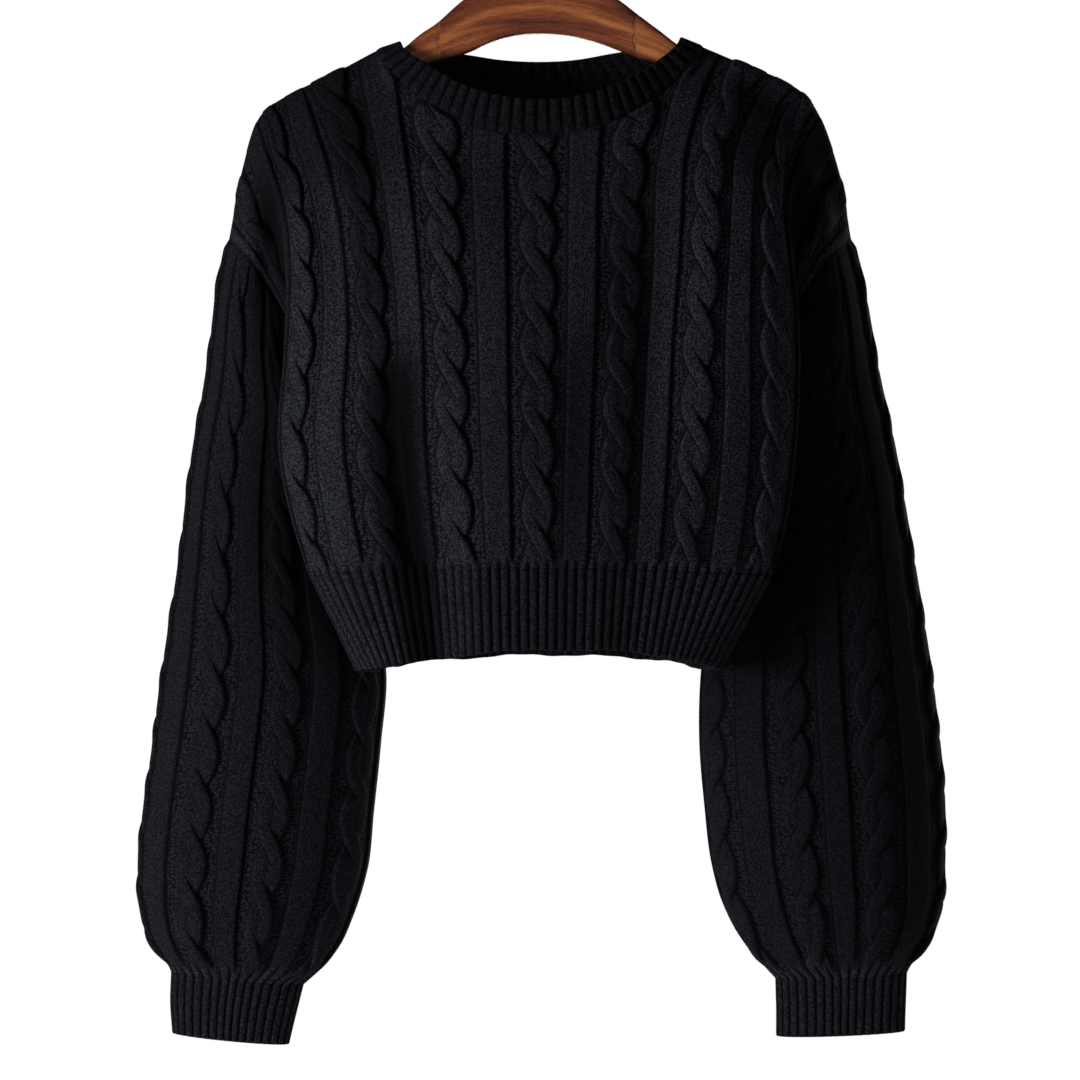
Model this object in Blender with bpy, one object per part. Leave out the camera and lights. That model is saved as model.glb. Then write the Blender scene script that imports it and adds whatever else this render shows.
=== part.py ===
"""Cropped cable-knit sweater hung on a wooden hanger.

Frame: X to the right, Y to the back, Z up. The origin is the hook's hang point.
Every table is in millimetres; lengths along the cloth are in millimetres too.
"""
import math

import bmesh
import bpy
import numpy as np

for _old in list(bpy.data.objects):
    bpy.data.objects.remove(_old, do_unlink=True)

# ------------------------------------------------------------------ dimensions
WALL = 2.4                # plain cloth thickness
SEAM_GAP = 0.3            # between two sewn pieces
SEAT_GAP = 0.3            # between cloth and hanger
REPEAT = 59.0             # one cable, two grooves and one flat rib
PANEL_REPEATS = 9
SLEEVE_REPEATS = 7
LOBE = 39.0               # length of one cable crossing
K_EDGE = 4.5              # wale coordinate of the panel's side edge
K_NECK = 1.5              # wale coordinate of the neck point
K_RIDGE = 3.35            # front fold beside the armhole
K_FLAP = 3.9
W_UNDERARM = 0.48         # level of the underarm on the side edge
CABLE_HIGH, CABLE_LOW = 3.7, 2.5
RIB_HIGH = 1.9
BAND_RIB = 1.5
HEM_RIBS, NECK_RIBS, CUFF_RIBS = 82, 76, 28
BOARD = 10.8              # hanger board thickness
SADDLE = 9.2              # outer radius of the cloth over the board
WIRE = 1.9                # hook wire radius
HOOK_IN = 22.0            # hook inner radius

# ------------------------------------------------------ guide tables, panels
# level | x of left side | x of right side | depth y | height z
FRONT_RIDGE = (
    (0.00, -160.3, 164.5, -36.0, -509.2),
    (0.12, -172.2, 173.6, -38.0, -470.9),
    (0.28, -182.0, 180.5, -40.0, -420.0),
    (0.48, -178.1, 183.1, -44.0, -355.1),
    (0.60, -175.9, 181.6, -45.0, -317.7),
    (0.72, -176.1, 177.5, -43.0, -279.3),
    (0.82, -180.7, 175.7, -38.0, -246.3),
    (0.90, -189.3, 182.9, -28.0, -219.0),
    (0.96, -197.5, 192.5, -15.0, -197.5),
    (1.00, -203.0, 203.8, 0.0, -182.0),
)
FRONT_FLAP = (
    (0.00, -154.0, 156.1, -24.0, -510.8),
    (0.12, -166.4, 167.1, -20.0, -476.5),
    (0.28, -167.9, 167.2, -18.0, -430.8),
    (0.48, -167.3, 168.7, -20.0, -368.5),
    (0.60, -171.0, 172.0, -26.0, -338.2),
    (0.72, -179.5, 180.0, -26.0, -304.5),
    (0.82, -189.0, 188.5, -23.0, -275.9),
    (0.90, -199.6, 199.6, -24.0, -254.9),
    (0.96, -208.1, 208.8, -16.0, -237.7),
    (1.00, -214.6, 218.2, 0.0, -223.8),
)
BACK_RIDGE = (
    (0.00, -134.0, 134.0, 12.0, -509.0),
    (0.12, -134.0, 134.0, 16.0, -469.9),
    (0.28, -130.0, 130.0, 20.0, -417.4),
    (0.48, -128.0, 128.0, 25.0, -350.7),
    (0.60, -142.0, 142.0, 33.0, -311.8),
    (0.72, -162.0, 163.0, 38.0, -272.4),
    (0.82, -177.0, 177.0, 36.0, -239.2),
    (0.90, -189.5, 188.0, 27.0, -212.9),
    (0.96, -199.0, 197.0, 14.0, -194.0),
    (1.00, -203.0, 203.8, 0.0, -182.0),
)
BACK_FLAP = (
    (0.00, -145.0, 145.0, 3.0, -511.1),
    (0.12, -150.0, 150.0, 6.0, -476.5),
    (0.28, -147.0, 147.0, 8.0, -430.2),
    (0.48, -143.0, 143.0, 11.0, -368.0),
    (0.60, -158.0, 158.0, 20.0, -334.0),
    (0.72, -176.0, 176.5, 26.0, -301.0),
    (0.82, -190.0, 190.8, 25.0, -274.6),
    (0.90, -202.6, 202.6, 26.0, -250.2),
    (0.96, -210.9, 211.6, 16.0, -234.3),
    (1.00, -214.6, 218.2, 0.0, -223.8),
)
SIDE_SEAM = (
    (0.00, -151.5, 151.5, -6.0, -511.7),
    (0.12, -162.6, 162.6, -2.0, -478.6),
    (0.28, -159.8, 159.8, 0.0, -432.6),
    (0.48, -152.6, 152.6, 1.0, -380.0),
)
FRONT_ARMHOLE = (
    (0.48, -152.6, 152.6, 1.0, -380.0),
    (0.53, -157.0, 157.0, -7.5, -368.5),
    (0.60, -165.3, 165.3, -12.0, -352.1),
    (0.72, -181.0, 181.0, -14.5, -323.8),
    (0.82, -195.0, 195.0, -18.0, -299.9),
    (0.90, -205.3, 206.0, -24.0, -284.8),
    (0.96, -214.6, 216.0, -16.5, -276.3),
    (1.00, -223.2, 226.1, 0.0, -268.4),
)
BACK_ARMHOLE = (
    (0.48, -152.6, 152.6, 1.0, -380.0),
    (0.53, -157.0, 157.0, 9.5, -368.0),
    (0.60, -167.0, 167.0, 16.0, -350.5),
    (0.72, -183.0, 183.0, 23.0, -322.4),
    (0.82, -197.7, 198.4, 25.0, -298.3),
    (0.90, -209.0, 209.7, 26.0, -281.3),
    (0.96, -217.4, 218.9, 16.5, -273.5),
    (1.00, -223.2, 226.1, 0.0, -268.4),
)
# level | depth of the middle column
FRONT_DEPTH = ((0.0, -76.0), (0.12, -79.0), (0.28, -80.0), (0.48, -78.0), (0.60, -75.0),
               (0.72, -70.0), (0.82, -64.0), (0.90, -58.0), (0.96, -53.0), (1.0, -50.0))
BACK_DEPTH = ((0.0, 56.0), (0.28, 60.0), (0.50, 58.0), (0.72, 52.0), (0.90, 40.0), (1.0, 33.0))
# level | share of the ridge's x for cable 1 | cable 2 | cable 3
FAN = ((0.00, 0.333, 0.640, 0.962), (0.28, 0.328, 0.640, 0.945), (0.48, 0.345, 0.648, 0.930),
       (0.65, 0.366, 0.687, 0.940), (0.78, 0.378, 0.720, 0.962), (0.90, 0.374, 0.742, 0.975),
       (1.00, 0.349, 0.756, 0.958))
FAN_RIGHT = (1.0, 0.93, 0.955, 0.975)
HEM_Z = {"front": (-503.9, -509.2), "back": (-505.8, -509.0)}   # middle | ridge

# ------------------------------------------------ top edges: wale | x | y | z
SHOULDER_LEFT = (
    (1.50, -115.9, 0.0, -131.6), (2.00, -153.4, 0.0, -151.0), (2.60, -180.0, 0.0, -164.0),
    (3.00, -194.4, 0.0, -173.4), (3.35, -203.0, 0.0, -184.0), (3.90, -214.6, 0.0, -223.8),
    (4.50, -223.2, 0.0, -268.4),
)
SHOULDER_RIGHT = (
    (1.50, 118.8, 0.0, -129.4), (2.00, 154.1, 0.0, -143.8), (2.60, 181.4, 0.0, -156.1),
    (3.00, 194.4, 0.0, -166.2), (3.35, 203.8, 0.0, -181.0), (3.90, 218.2, 0.0, -223.8),
    (4.50, 226.1, 0.0, -268.4),
)
NECK_FRONT_LEFT = (
    (0.00, 0.0, -50.0, -196.8), (0.50, -33.9, -48.0, -193.7), (1.00, -70.9, -37.0, -177.4),
    (1.28, -97.1, -22.0, -157.4), (1.44, -112.2, -9.4, -137.9), (1.50, -115.9, 0.0, -131.6),
)
NECK_FRONT_RIGHT = (
    (0.00, 0.0, -50.0, -196.8), (0.50, 33.9, -48.0, -193.4), (1.00, 70.6, -37.0, -177.8),
    (1.28, 97.4, -22.0, -157.4), (1.44, 114.8, -9.4, -135.9), (1.50, 118.8, 0.0, -129.4),
)
NECK_BACK_LEFT = (
    (0.00, 0.0, 33.0, -156.7), (0.50, -33.5, 31.0, -154.8), (1.00, -71.3, 26.0, -146.7),
    (1.28, -96.4, 18.0, -140.0), (1.44, -113.2, 9.4, -136.6), (1.50, -115.9, 0.0, -131.6),
)
NECK_BACK_RIGHT = (
    (0.00, 0.0, 33.0, -156.7), (0.50, 33.5, 31.0, -154.4), (1.00, 71.3, 26.0, -146.0),
    (1.28, 97.1, 18.0, -138.5), (1.44, 115.8, 9.4, -134.5), (1.50, 118.8, 0.0, -129.4),
)
COLLAR_FRONT_LEFT = (
    (0.00, 0.0, -46.0, -173.0), (0.50, -29.7, -44.0, -169.2), (1.00, -61.0, -34.0, -157.2),
    (1.28, -82.9, -20.5, -142.3), (1.44, -96.6, -9.4, -131.6), (1.50, -98.6, 0.0, -126.6),
)
COLLAR_FRONT_RIGHT = (
    (0.00, 0.0, -46.0, -173.0), (0.50, 31.1, -44.0, -169.2), (1.00, 61.8, -34.0, -157.9),
    (1.28, 85.0, -20.5, -142.6), (1.44, 100.0, -9.4, -128.8), (1.50, 102.2, 0.0, -123.7),
)
COLLAR_BACK_LEFT = (
    (0.00, 0.0, 31.0, -135.8), (0.50, -27.7, 29.0, -134.6), (1.00, -56.7, 24.0, -130.9),
    (1.28, -81.8, 16.5, -129.0), (1.44, -96.6, 9.4, -130.8), (1.50, -98.6, 0.0, -126.6),
)
COLLAR_BACK_RIGHT = (
    (0.00, 0.0, 31.0, -135.8), (0.50, 27.7, 29.0, -134.6), (1.00, 58.2, 24.0, -130.0),
    (1.28, 84.7, 16.5, -127.0), (1.44, 100.0, 9.4, -128.1), (1.50, 102.2, 0.0, -123.7),
)
HEM_FRONT_LEFT = (
    (0.00, 0.0, -72.0, -561.2), (1.00, -50.3, -69.0, -565.5), (2.00, -89.9, -58.0, -571.5),
    (3.00, -120.4, -40.0, -575.7), (3.35, -127.3, -30.0, -577.5), (3.90, -124.6, -18.0, -578.7),
    (4.50, -118.6, -4.0, -579.3),
)
HEM_FRONT_RIGHT = (
    (0.00, 0.0, -72.0, -561.2), (1.00, 47.6, -69.0, -562.0), (2.00, 87.1, -58.0, -565.9),
    (3.00, 120.4, -40.0, -574.3), (3.35, 128.7, -30.0, -576.1), (3.90, 125.6, -18.0, -577.3),
    (4.50, 119.3, -4.0, -577.8),
)
HEM_BACK_LEFT = (
    (0.00, 0.0, 54.0, -569.1), (1.00, -41.2, 52.0, -570.5), (2.00, -80.6, 42.0, -573.0),
    (3.00, -104.8, 26.0, -576.8), (3.35, -111.7, 18.0, -578.0), (3.90, -116.3, 8.0, -579.0),
    (4.50, -118.6, -4.0, -579.3),
)
HEM_BACK_RIGHT = (
    (0.00, 0.0, 54.0, -569.1), (1.00, 41.2, 52.0, -569.7), (2.00, 80.6, 42.0, -571.6),
    (3.00, 106.3, 26.0, -575.4), (3.35, 112.4, 18.0, -576.5), (3.90, 117.0, 8.0, -577.6),
    (4.50, 119.3, -4.0, -577.8),
)
# wale | length of the cloth from hem seam to top edge
FRONT_LENGTH = ((0.0, 314.0), (0.5, 317.0), (1.0, 334.0), (1.28, 352.0), (1.5, 372.0),
                (2.0, 360.0), (3.0, 342.0), (3.9, 336.0), (4.5, 330.0))
BACK_LENGTH = ((0.0, 344.0), (0.5, 346.0), (1.0, 354.0), (1.28, 361.0), (1.5, 372.0),
               (2.0, 360.0), (3.0, 342.0), (3.9, 336.0), (4.5, 330.0))
# face | wale | half width | push along y | level from | level to
FOLDS = (
    ("front", -1.45, 0.75, 12.0, -0.40, 0.42),
    ("front", -2.55, 0.60, -4.0, -0.30, 0.40),
    ("front", -2.45, 0.40, 5.0, 0.42, 0.90),
    ("front", 0.62, 0.45, 4.0, 0.00, 0.60),
    ("front", 2.30, 0.50, -3.0, 0.05, 0.70),
    ("back", -1.40, 0.75, -10.0, -0.40, 0.85),
    ("back", -2.35, 0.55, 6.0, -0.30, 0.80),
    ("back", 1.30, 0.75, -9.0, -0.40, 0.80),
    ("back", 2.30, 0.55, 6.0, -0.30, 0.85),
    ("back", 0.00, 0.60, 5.0, -0.30, 0.90),
)

# ----------------------------------------------------------------- sleeve tables
# run | outer x | outer z | inner x | inner z | front y | back y
SLEEVE_LEFT = (
    (0.000, -223.4, -268.2, -152.8, -379.9, -20.0, 24.0),
    (0.070, -231.0, -310.6, -156.0, -399.0, -13.0, 50.0),
    (0.150, -238.2, -356.9, -147.0, -429.8, -3.0, 70.0),
    (0.256, -249.9, -418.5, -142.2, -469.7, 3.0, 88.0),
    (0.408, -261.3, -506.4, -130.7, -528.4, 2.0, 92.0),
    (0.535, -272.2, -579.8, -113.7, -578.3, 0.0, 92.0),
    (0.650, -279.3, -634.7, -117.3, -634.7, -4.0, 92.0),
    (0.750, -285.7, -682.2, -122.3, -683.7, -6.0, 90.0),
    (0.830, -289.1, -718.6, -126.6, -724.4, -7.0, 86.0),
    (0.900, -287.2, -751.1, -137.4, -758.5, -6.0, 78.0),
    (0.950, -280.3, -774.2, -148.9, -782.2, -2.0, 68.0),
    (0.985, -269.0, -792.0, -164.0, -800.1, 6.0, 54.0),
    (1.000, -266.0, -798.5, -172.0, -807.2, 12.0, 46.0),
)
SLEEVE_RIGHT = (
    (0.000, 226.3, -268.2, 152.8, -379.9, -20.0, 24.0),
    (0.070, 235.4, -310.6, 156.0, -399.0, -13.0, 50.0),
    (0.150, 244.7, -356.9, 147.0, -429.8, -3.0, 70.0),
    (0.256, 258.7, -418.5, 142.2, -469.7, 3.0, 88.0),
    (0.408, 273.8, -506.4, 130.7, -528.4, 2.0, 92.0),
    (0.535, 284.7, -578.3, 121.8, -578.3, 0.0, 92.0),
    (0.650, 291.1, -631.0, 120.2, -631.0, -4.0, 92.0),
    (0.750, 294.5, -678.5, 123.8, -678.5, -6.0, 90.0),
    (0.830, 294.2, -718.6, 128.8, -720.1, -7.0, 86.0),
    (0.900, 291.6, -751.1, 138.1, -751.1, -6.0, 78.0),
    (0.950, 282.5, -772.7, 151.1, -774.9, -2.0, 68.0),
    (0.985, 271.2, -792.0, 166.9, -795.0, 6.0, 54.0),
    (1.000, 267.4, -799.2, 174.2, -802.8, 12.0, 46.0),
)
CUFF_LEFT = (
    (0.000, -266.0, -798.5, -172.0, -807.2, 12.0, 46.0),
    (0.500, -266.6, -821.6, -177.7, -829.7, 13.0, 43.0),
    (1.000, -265.0, -843.4, -182.8, -851.4, 13.0, 41.0),
)
CUFF_RIGHT = (
    (0.000, 267.4, -799.2, 174.2, -802.8, 12.0, 46.0),
    (0.500, 266.6, -820.2, 174.8, -823.8, 13.0, 43.0),
    (1.000, 265.8, -841.9, 174.7, -845.5, 13.0, 41.0),
)
SLEEVE_RUN = 475.0
SLEEVE_PHASE = {"left": 0.5, "right": 0.36}
ARMHOLE_CROWD = 0.65      # cloth crowds toward the shoulder end of the armhole
ARMHOLE_BLEND = 0.17

# ------------------------------------------------------------------ hanger table
# visible wood: x | top z
BOARD_TOP = ((-85.0, -120.8), (-71.3, -111.4), (-63.4, -104.2), (-54.7, -96.6),
             (-41.8, -89.4), (-23.8, -84.4), (0.0, -82.0), (24.5, -84.4), (44.6, -89.4),
             (58.3, -96.0), (71.3, -105.9), (87.8, -118.2))
# x | bottom z
BOARD_BOTTOM = ((-196.0, -198.0), (-182.2, -191.5), (-149.8, -175.5), (-113.8, -156.6),
                (-83.5, -142.0), (-66.2, -138.2), (-50.4, -133.4), (-38.2, -128.2),
                (-25.9, -123.7), (-13.0, -121.0), (3.6, -120.1), (27.4, -122.4), (44.6, -127.0),
                (61.2, -133.0), (73.4, -137.6), (87.8, -141.4), (114.5, -154.8),
                (149.8, -169.5), (183.6, -186.0), (197.0, -193.0))


# ------------------------------------------------------------------- mathematics
def smooth(knots, values, at):
    """Cubic through the knots with three-point slopes. values: (n,) or (n, d)."""
    x = np.asarray(knots, float)
    v = np.asarray(values, float)
    at = np.clip(np.asarray(at, float), x[0], x[-1])
    step = np.diff(x)
    slope = np.diff(v, axis=0) / step.reshape((-1,) + (1,) * (v.ndim - 1))
    mid = np.empty_like(v)
    a = (step[1:] / (step[1:] + step[:-1])).reshape((-1,) + (1,) * (v.ndim - 1))
    mid[1:-1] = slope[:-1] * a + slope[1:] * (1.0 - a)
    mid[0], mid[-1] = slope[0], slope[-1]
    i = np.clip(np.searchsorted(x, at, side="right") - 1, 0, len(x) - 2)
    h = step[i]
    t = (at - x[i]) / h
    if v.ndim > 1:
        t, h = t[..., None], h[..., None]
    return ((2 * t**3 - 3 * t**2 + 1) * v[i] + (t**3 - 2 * t**2 + t) * h * mid[i]
            + (3 * t**2 - 2 * t**3) * v[i + 1] + (t**3 - t**2) * h * mid[i + 1])


def table(rows, at):
    """Interpolate a table whose first column is the parameter."""
    rows = np.asarray(rows, float)
    return smooth(rows[:, 0], rows[:, 1:], at)


def guide(rows, side, level):
    """Point of a panel guide on one side. side is 0 for left, 1 for right."""
    got = table(rows, level)
    return np.stack([got[..., side], got[..., 2], got[..., 3]], axis=-1)


def unit(vectors):
    size = np.linalg.norm(vectors, axis=-1, keepdims=True)
    return vectors / np.maximum(size, 1e-9)


def ramp(value):
    value = np.clip(value, 0.0, 1.0)
    return value * value * (3.0 - 2.0 * value)


# ------------------------------------------------------------------------ panels
SHOULDER = (SHOULDER_LEFT, SHOULDER_RIGHT)
NECK = {"front": (NECK_FRONT_LEFT, NECK_FRONT_RIGHT), "back": (NECK_BACK_LEFT, NECK_BACK_RIGHT)}
COLLAR = {"front": (COLLAR_FRONT_LEFT, COLLAR_FRONT_RIGHT),
          "back": (COLLAR_BACK_LEFT, COLLAR_BACK_RIGHT)}
HEM = {"front": (HEM_FRONT_LEFT, HEM_FRONT_RIGHT), "back": (HEM_BACK_LEFT, HEM_BACK_RIGHT)}
RIDGE = {"front": FRONT_RIDGE, "back": BACK_RIDGE}
FLAP = {"front": FRONT_FLAP, "back": BACK_FLAP}
ARMHOLE = {"front": FRONT_ARMHOLE, "back": BACK_ARMHOLE}
DEPTH = {"front": FRONT_DEPTH, "back": BACK_DEPTH}
LENGTH = {"front": FRONT_LENGTH, "back": BACK_LENGTH}


def both_sides(pair, wale):
    """Evaluate a left and right table pair by signed wale, smooth across the middle."""
    left = np.asarray(pair[0], float)[::-1].copy()
    left[:, 0] *= -1.0
    right = np.asarray(pair[1], float)[1:]
    rows = np.vstack([left, right])
    return smooth(rows[:, 0], rows[:, 1:], wale)


def top_edge(face, wale):
    """The panel's top edge: neck seam inside the neck points, shoulder seam outside."""
    wale = np.asarray(wale, float)
    neck = both_sides(NECK[face], np.clip(wale, -K_NECK, K_NECK))
    left = table(SHOULDER_LEFT, np.clip(-wale, K_NECK, K_EDGE))
    right = table(SHOULDER_RIGHT, np.clip(wale, K_NECK, K_EDGE))
    outer = np.where((wale < 0)[..., None], left, right)
    return np.where((np.abs(wale) <= K_NECK)[..., None], neck, outer)


def edge_line(face, side, level):
    """Side seam up to the underarm, armhole above it."""
    level = np.asarray(level, float)
    low = guide(SIDE_SEAM, side, np.minimum(level, W_UNDERARM))
    high = guide(ARMHOLE[face], side, np.maximum(level, W_UNDERARM))
    return np.where((level <= W_UNDERARM)[..., None], low, high)


def fold_push(face, wale, level):
    """Sum of the soft folds, a push along y."""
    push = np.zeros(np.broadcast(wale, level).shape)
    for where, centre, width, depth, low, high in FOLDS:
        if where != face:
            continue
        across = np.clip(1.0 - np.abs(wale - centre) / width, 0.0, 1.0)
        along = np.clip((level - low) / (high - low), 0.0, 1.0)
        push = push + depth * ramp(across) * np.sin(np.pi * along) ** 1.2
    return push


def panel(face, wale, level):
    """Plain outer surface of the front or back. wale and level are equal-sized arrays."""
    wale, level = np.broadcast_arrays(np.asarray(wale, float), np.asarray(level, float))
    columns = []
    middle = smooth(*zip(*DEPTH[face]), level)
    fan = table(FAN, level)
    hem_mid, hem_ridge = HEM_Z[face]
    power = 2.2 if face == "front" else 2.0
    settle = np.clip((level - 0.72) / 0.28, 0.0, 1.0) ** 2.5
    for side, sign in ((0, -1.0), (1, 1.0)):
        ridge = guide(RIDGE[face], side, level)
        flap = guide(FLAP[face], side, level)
        edge = edge_line(face, side, level)
        ranks = []
        for rank in (0, 1, 2, 3):
            share = 0.0 if rank == 0 else fan[..., rank - 1] * (FAN_RIGHT[rank] if side else 1.0)
            top = top_edge(face, np.array(sign * rank))
            bend = (rank / K_RIDGE) ** power
            y = ridge[..., 1] + (middle - ridge[..., 1]) * (1.0 - bend)
            y = y * (1.0 - settle) + top[1] * settle
            z_hem = hem_mid + (hem_ridge - hem_mid) * (rank / K_RIDGE) ** 2
            z = z_hem + (top[2] - z_hem) * level
            ranks.append((sign * rank, np.stack([share * ridge[..., 0], y, z], axis=-1)))
        ranks += [(sign * K_RIDGE, ridge), (sign * K_FLAP, flap), (sign * K_EDGE, edge)]
        columns += ranks if side else ranks[:0:-1]
    columns.sort(key=lambda item: item[0])
    if columns[6][0] != 0.0:
        raise ValueError("middle column missing")
    knots = np.array([item[0] for item in columns])
    points = np.stack([item[1] for item in columns])
    step = np.diff(knots)
    slope = np.diff(points, axis=0) / step.reshape((-1,) + (1,) * (points.ndim - 1))
    mid = np.empty_like(points)
    a = (step[1:] / (step[1:] + step[:-1])).reshape((-1,) + (1,) * (points.ndim - 1))
    mid[1:-1] = slope[:-1] * a + slope[1:] * (1.0 - a)
    mid[0], mid[-1] = slope[0], slope[-1]
    i = np.clip(np.searchsorted(knots, wale, side="right") - 1, 0, len(knots) - 2)
    h = step[i][..., None]
    t = ((wale - knots[i]) / step[i])[..., None]
    pick = (i,) + tuple(np.indices(i.shape))
    nxt = (i + 1,) + tuple(np.indices(i.shape))
    got = ((2 * t**3 - 3 * t**2 + 1) * points[pick] + (t**3 - 2 * t**2 + t) * h * mid[pick]
           + (3 * t**2 - 2 * t**3) * points[nxt] + (t**3 - t**2) * h * mid[nxt])
    got[..., 1] += fold_push(face, wale, level) * ramp((K_EDGE - np.abs(wale)) / 0.6)
    return got


def panel_surface(face, wale, level):
    """Panel with its top edge pulled exactly onto the shared seams."""
    wale, level = np.broadcast_arrays(np.asarray(wale, float), np.asarray(level, float))
    got = panel(face, wale, level)
    miss = top_edge(face, wale) - panel(face, wale, np.ones_like(wale))
    pull = np.clip((level - 0.74) / 0.26, 0.0, 1.0) ** 2
    got = got + miss * pull[..., None]
    return rounded(face, wale, level, got)


def cloth_length(face, wale):
    return smooth(*zip(*LENGTH[face]), np.abs(np.asarray(wale, float)))


def rounded(face, wale, level, got):
    """Turn the cloth round under the shoulder seam, over the board and down the drop."""
    full = cloth_length(face, wale)
    away = (1.0 - level) * full
    top = top_edge(face, wale)
    lower = panel(face, wale, 1.0 - 30.0 / full)
    heading = unit((lower - top)[..., [0, 2]])
    run = unit((top_edge(face, wale + 0.01) - top_edge(face, wale - 0.01))[..., [0, 2]])
    square = np.clip(np.abs(heading[..., 0] * run[..., 1] - heading[..., 1] * run[..., 0]),
                     0.35, 1.0)
    turn = np.minimum(away / SADDLE, 1.2)
    past = np.maximum(away - 1.2 * SADDLE, 0.0)
    out = SADDLE * np.sin(turn) + past * math.cos(1.2)
    drop = (SADDLE * (1.0 - np.cos(turn)) + past * math.sin(1.2)) / square
    over = (ramp((np.abs(wale) - 1.44) / 0.06) * ramp((4.48 - np.abs(wale)) / 0.35)
            * (1.0 - ramp((away - 9.0) / 18.0)))
    sign = -1.0 if face == "front" else 1.0
    made = np.stack([top[..., 0] + heading[..., 0] * drop, top[..., 1] + sign * out,
                     top[..., 2] + heading[..., 1] * drop], axis=-1)
    return got + over[..., None] * (made - got)


# ----------------------------------------------------------------------- sleeves
def ring(rows, s, t):
    """Closed section of a sleeve or cuff. s runs inner, front, outer, back."""
    got = table(rows, t)
    outer = np.stack([got[..., 0], np.zeros_like(got[..., 0]), got[..., 1]], axis=-1)
    inner = np.stack([got[..., 2], np.zeros_like(got[..., 0]), got[..., 3]], axis=-1)
    centre = (outer + inner) / 2.0
    half = (inner - outer) / 2.0
    wide = np.linalg.norm(half, axis=-1)
    deep = (got[..., 5] - got[..., 4]) / 2.0
    centre[..., 1] = (got[..., 5] + got[..., 4]) / 2.0
    even = 0.5 * (wide - deep) / (wide + deep)
    angle = 2.0 * np.pi * s + even * np.sin(4.0 * np.pi * s)
    got = centre + half * np.cos(angle)[..., None]
    got[..., 1] -= deep * np.sin(angle)
    return got


def armhole_level(s):
    """Level on the panel's edge that meets sleeve coordinate s."""
    s = np.asarray(s, float) % 1.0
    from_top = np.abs(0.5 - s) / 0.5
    return 1.0 - (1.0 - W_UNDERARM) * from_top ** (1.0 / ARMHOLE_CROWD)


def armhole_s(level, face):
    share = ((1.0 - level) / (1.0 - W_UNDERARM)) ** ARMHOLE_CROWD
    return 0.5 - 0.5 * share if face == "front" else 0.5 + 0.5 * share


def armhole(side, s):
    level = armhole_level(s)
    front = edge_line("front", side, np.maximum(level, W_UNDERARM + 1e-9))
    back = edge_line("back", side, np.maximum(level, W_UNDERARM + 1e-9))
    s = np.asarray(s, float) % 1.0
    return np.where((s <= 0.5)[..., None], front, back)


def sleeve(side, s, t):
    """Plain outer surface of a sleeve."""
    s, t = np.broadcast_arrays(np.asarray(s, float), np.asarray(t, float))
    rows = SLEEVE_RIGHT if side else SLEEVE_LEFT
    got = ring(rows, s, t)
    miss = armhole(side, s) - ring(rows, s, np.zeros_like(t))
    pull = np.clip(1.0 - t / ARMHOLE_BLEND, 0.0, 1.0) ** 2
    return got + miss * pull[..., None]


def normals(surface, a, b, da=2e-3, db=2e-3, flip=1.0, b_range=(0.0, 1.0)):
    """Unit normals of a surface by differences."""
    a, b = np.broadcast_arrays(np.asarray(a, float), np.asarray(b, float))
    low, high = np.maximum(b - db, b_range[0]), np.minimum(b + db, b_range[1])
    along = surface(a, high) - surface(a, low)
    across = surface(a + da, b) - surface(a - da, b)
    return flip * unit(np.cross(across, along))


# ------------------------------------------------------------------------ relief
def cable_relief(phase, belly):
    """Height over plain cloth at a place in the repeat. phase in repeats, belly 0 to 1."""
    place = np.abs((phase + 0.5) % 1.0 - 0.5)
    high = CABLE_LOW + (CABLE_HIGH - CABLE_LOW) * belly
    edge = 0.15 + 0.07 * belly
    crest = 0.06 + 0.04 * belly
    cable = high * np.clip((edge - place) / (edge - crest), 0.0, 1.0)
    rib = RIB_HIGH * np.clip((place - 0.28) / 0.06, 0.0, 1.0)
    return np.maximum(cable, rib)


def cable_stops(belly):
    """Columns of one repeat round its cable centre."""
    edge = 0.15 + 0.07 * belly
    crest = 0.06 + 0.04 * belly
    return (-0.347, -edge, -crest, crest, edge, 0.347)


# -------------------------------------------------------------------- mesh helpers
class Body:
    """Collects vertices and faces of one closed solid, in millimetres."""

    def __init__(self, name):
        self.name = name
        self.points = []
        self.faces = []

    def add(self, points):
        start = len(self.points)
        self.points.extend(np.asarray(points, float).reshape(-1, 3))
        return list(range(start, len(self.points)))

    def quad(self, a, b, c, d):
        self.faces.append((a, b, c))
        self.faces.append((a, c, d))

    def strip(self, low, low_at, high, high_at, closed):
        """Triangles between two polylines that share a running parameter."""
        i = j = 0
        n, m = len(low), len(high)
        last_i, last_j = (n, m) if closed else (n - 1, m - 1)
        while i < last_i or j < last_j:
            next_i = (low_at[i + 1] if i + 1 < n else low_at[0] + 1.0) if i < last_i else 1e9
            next_j = (high_at[j + 1] if j + 1 < m else high_at[0] + 1.0) if j < last_j else 1e9
            here_i = low_at[i] if i < n else low_at[0] + 1.0
            here_j = high_at[j] if j < m else high_at[0] + 1.0
            if here_i + next_i <= here_j + next_j:
                self.faces.append((low[i % n], low[(i + 1) % n], high[j % m]))
                i += 1
            else:
                self.faces.append((low[i % n], high[(j + 1) % m], high[j % m]))
                j += 1

    def build(self, material):
        mesh = bpy.data.meshes.new(self.name)
        work = bmesh.new()
        verts = [work.verts.new(tuple(p * 0.001)) for p in self.points]
        for face in self.faces:
            if len(set(face)) == 3:
                work.faces.new([verts[k] for k in face])
        bmesh.ops.recalc_face_normals(work, faces=work.faces)
        work.to_mesh(mesh)
        work.free()
        mesh.materials.append(material)
        made = bpy.data.objects.new(self.name, mesh)
        bpy.context.scene.collection.objects.link(made)
        return made


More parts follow.
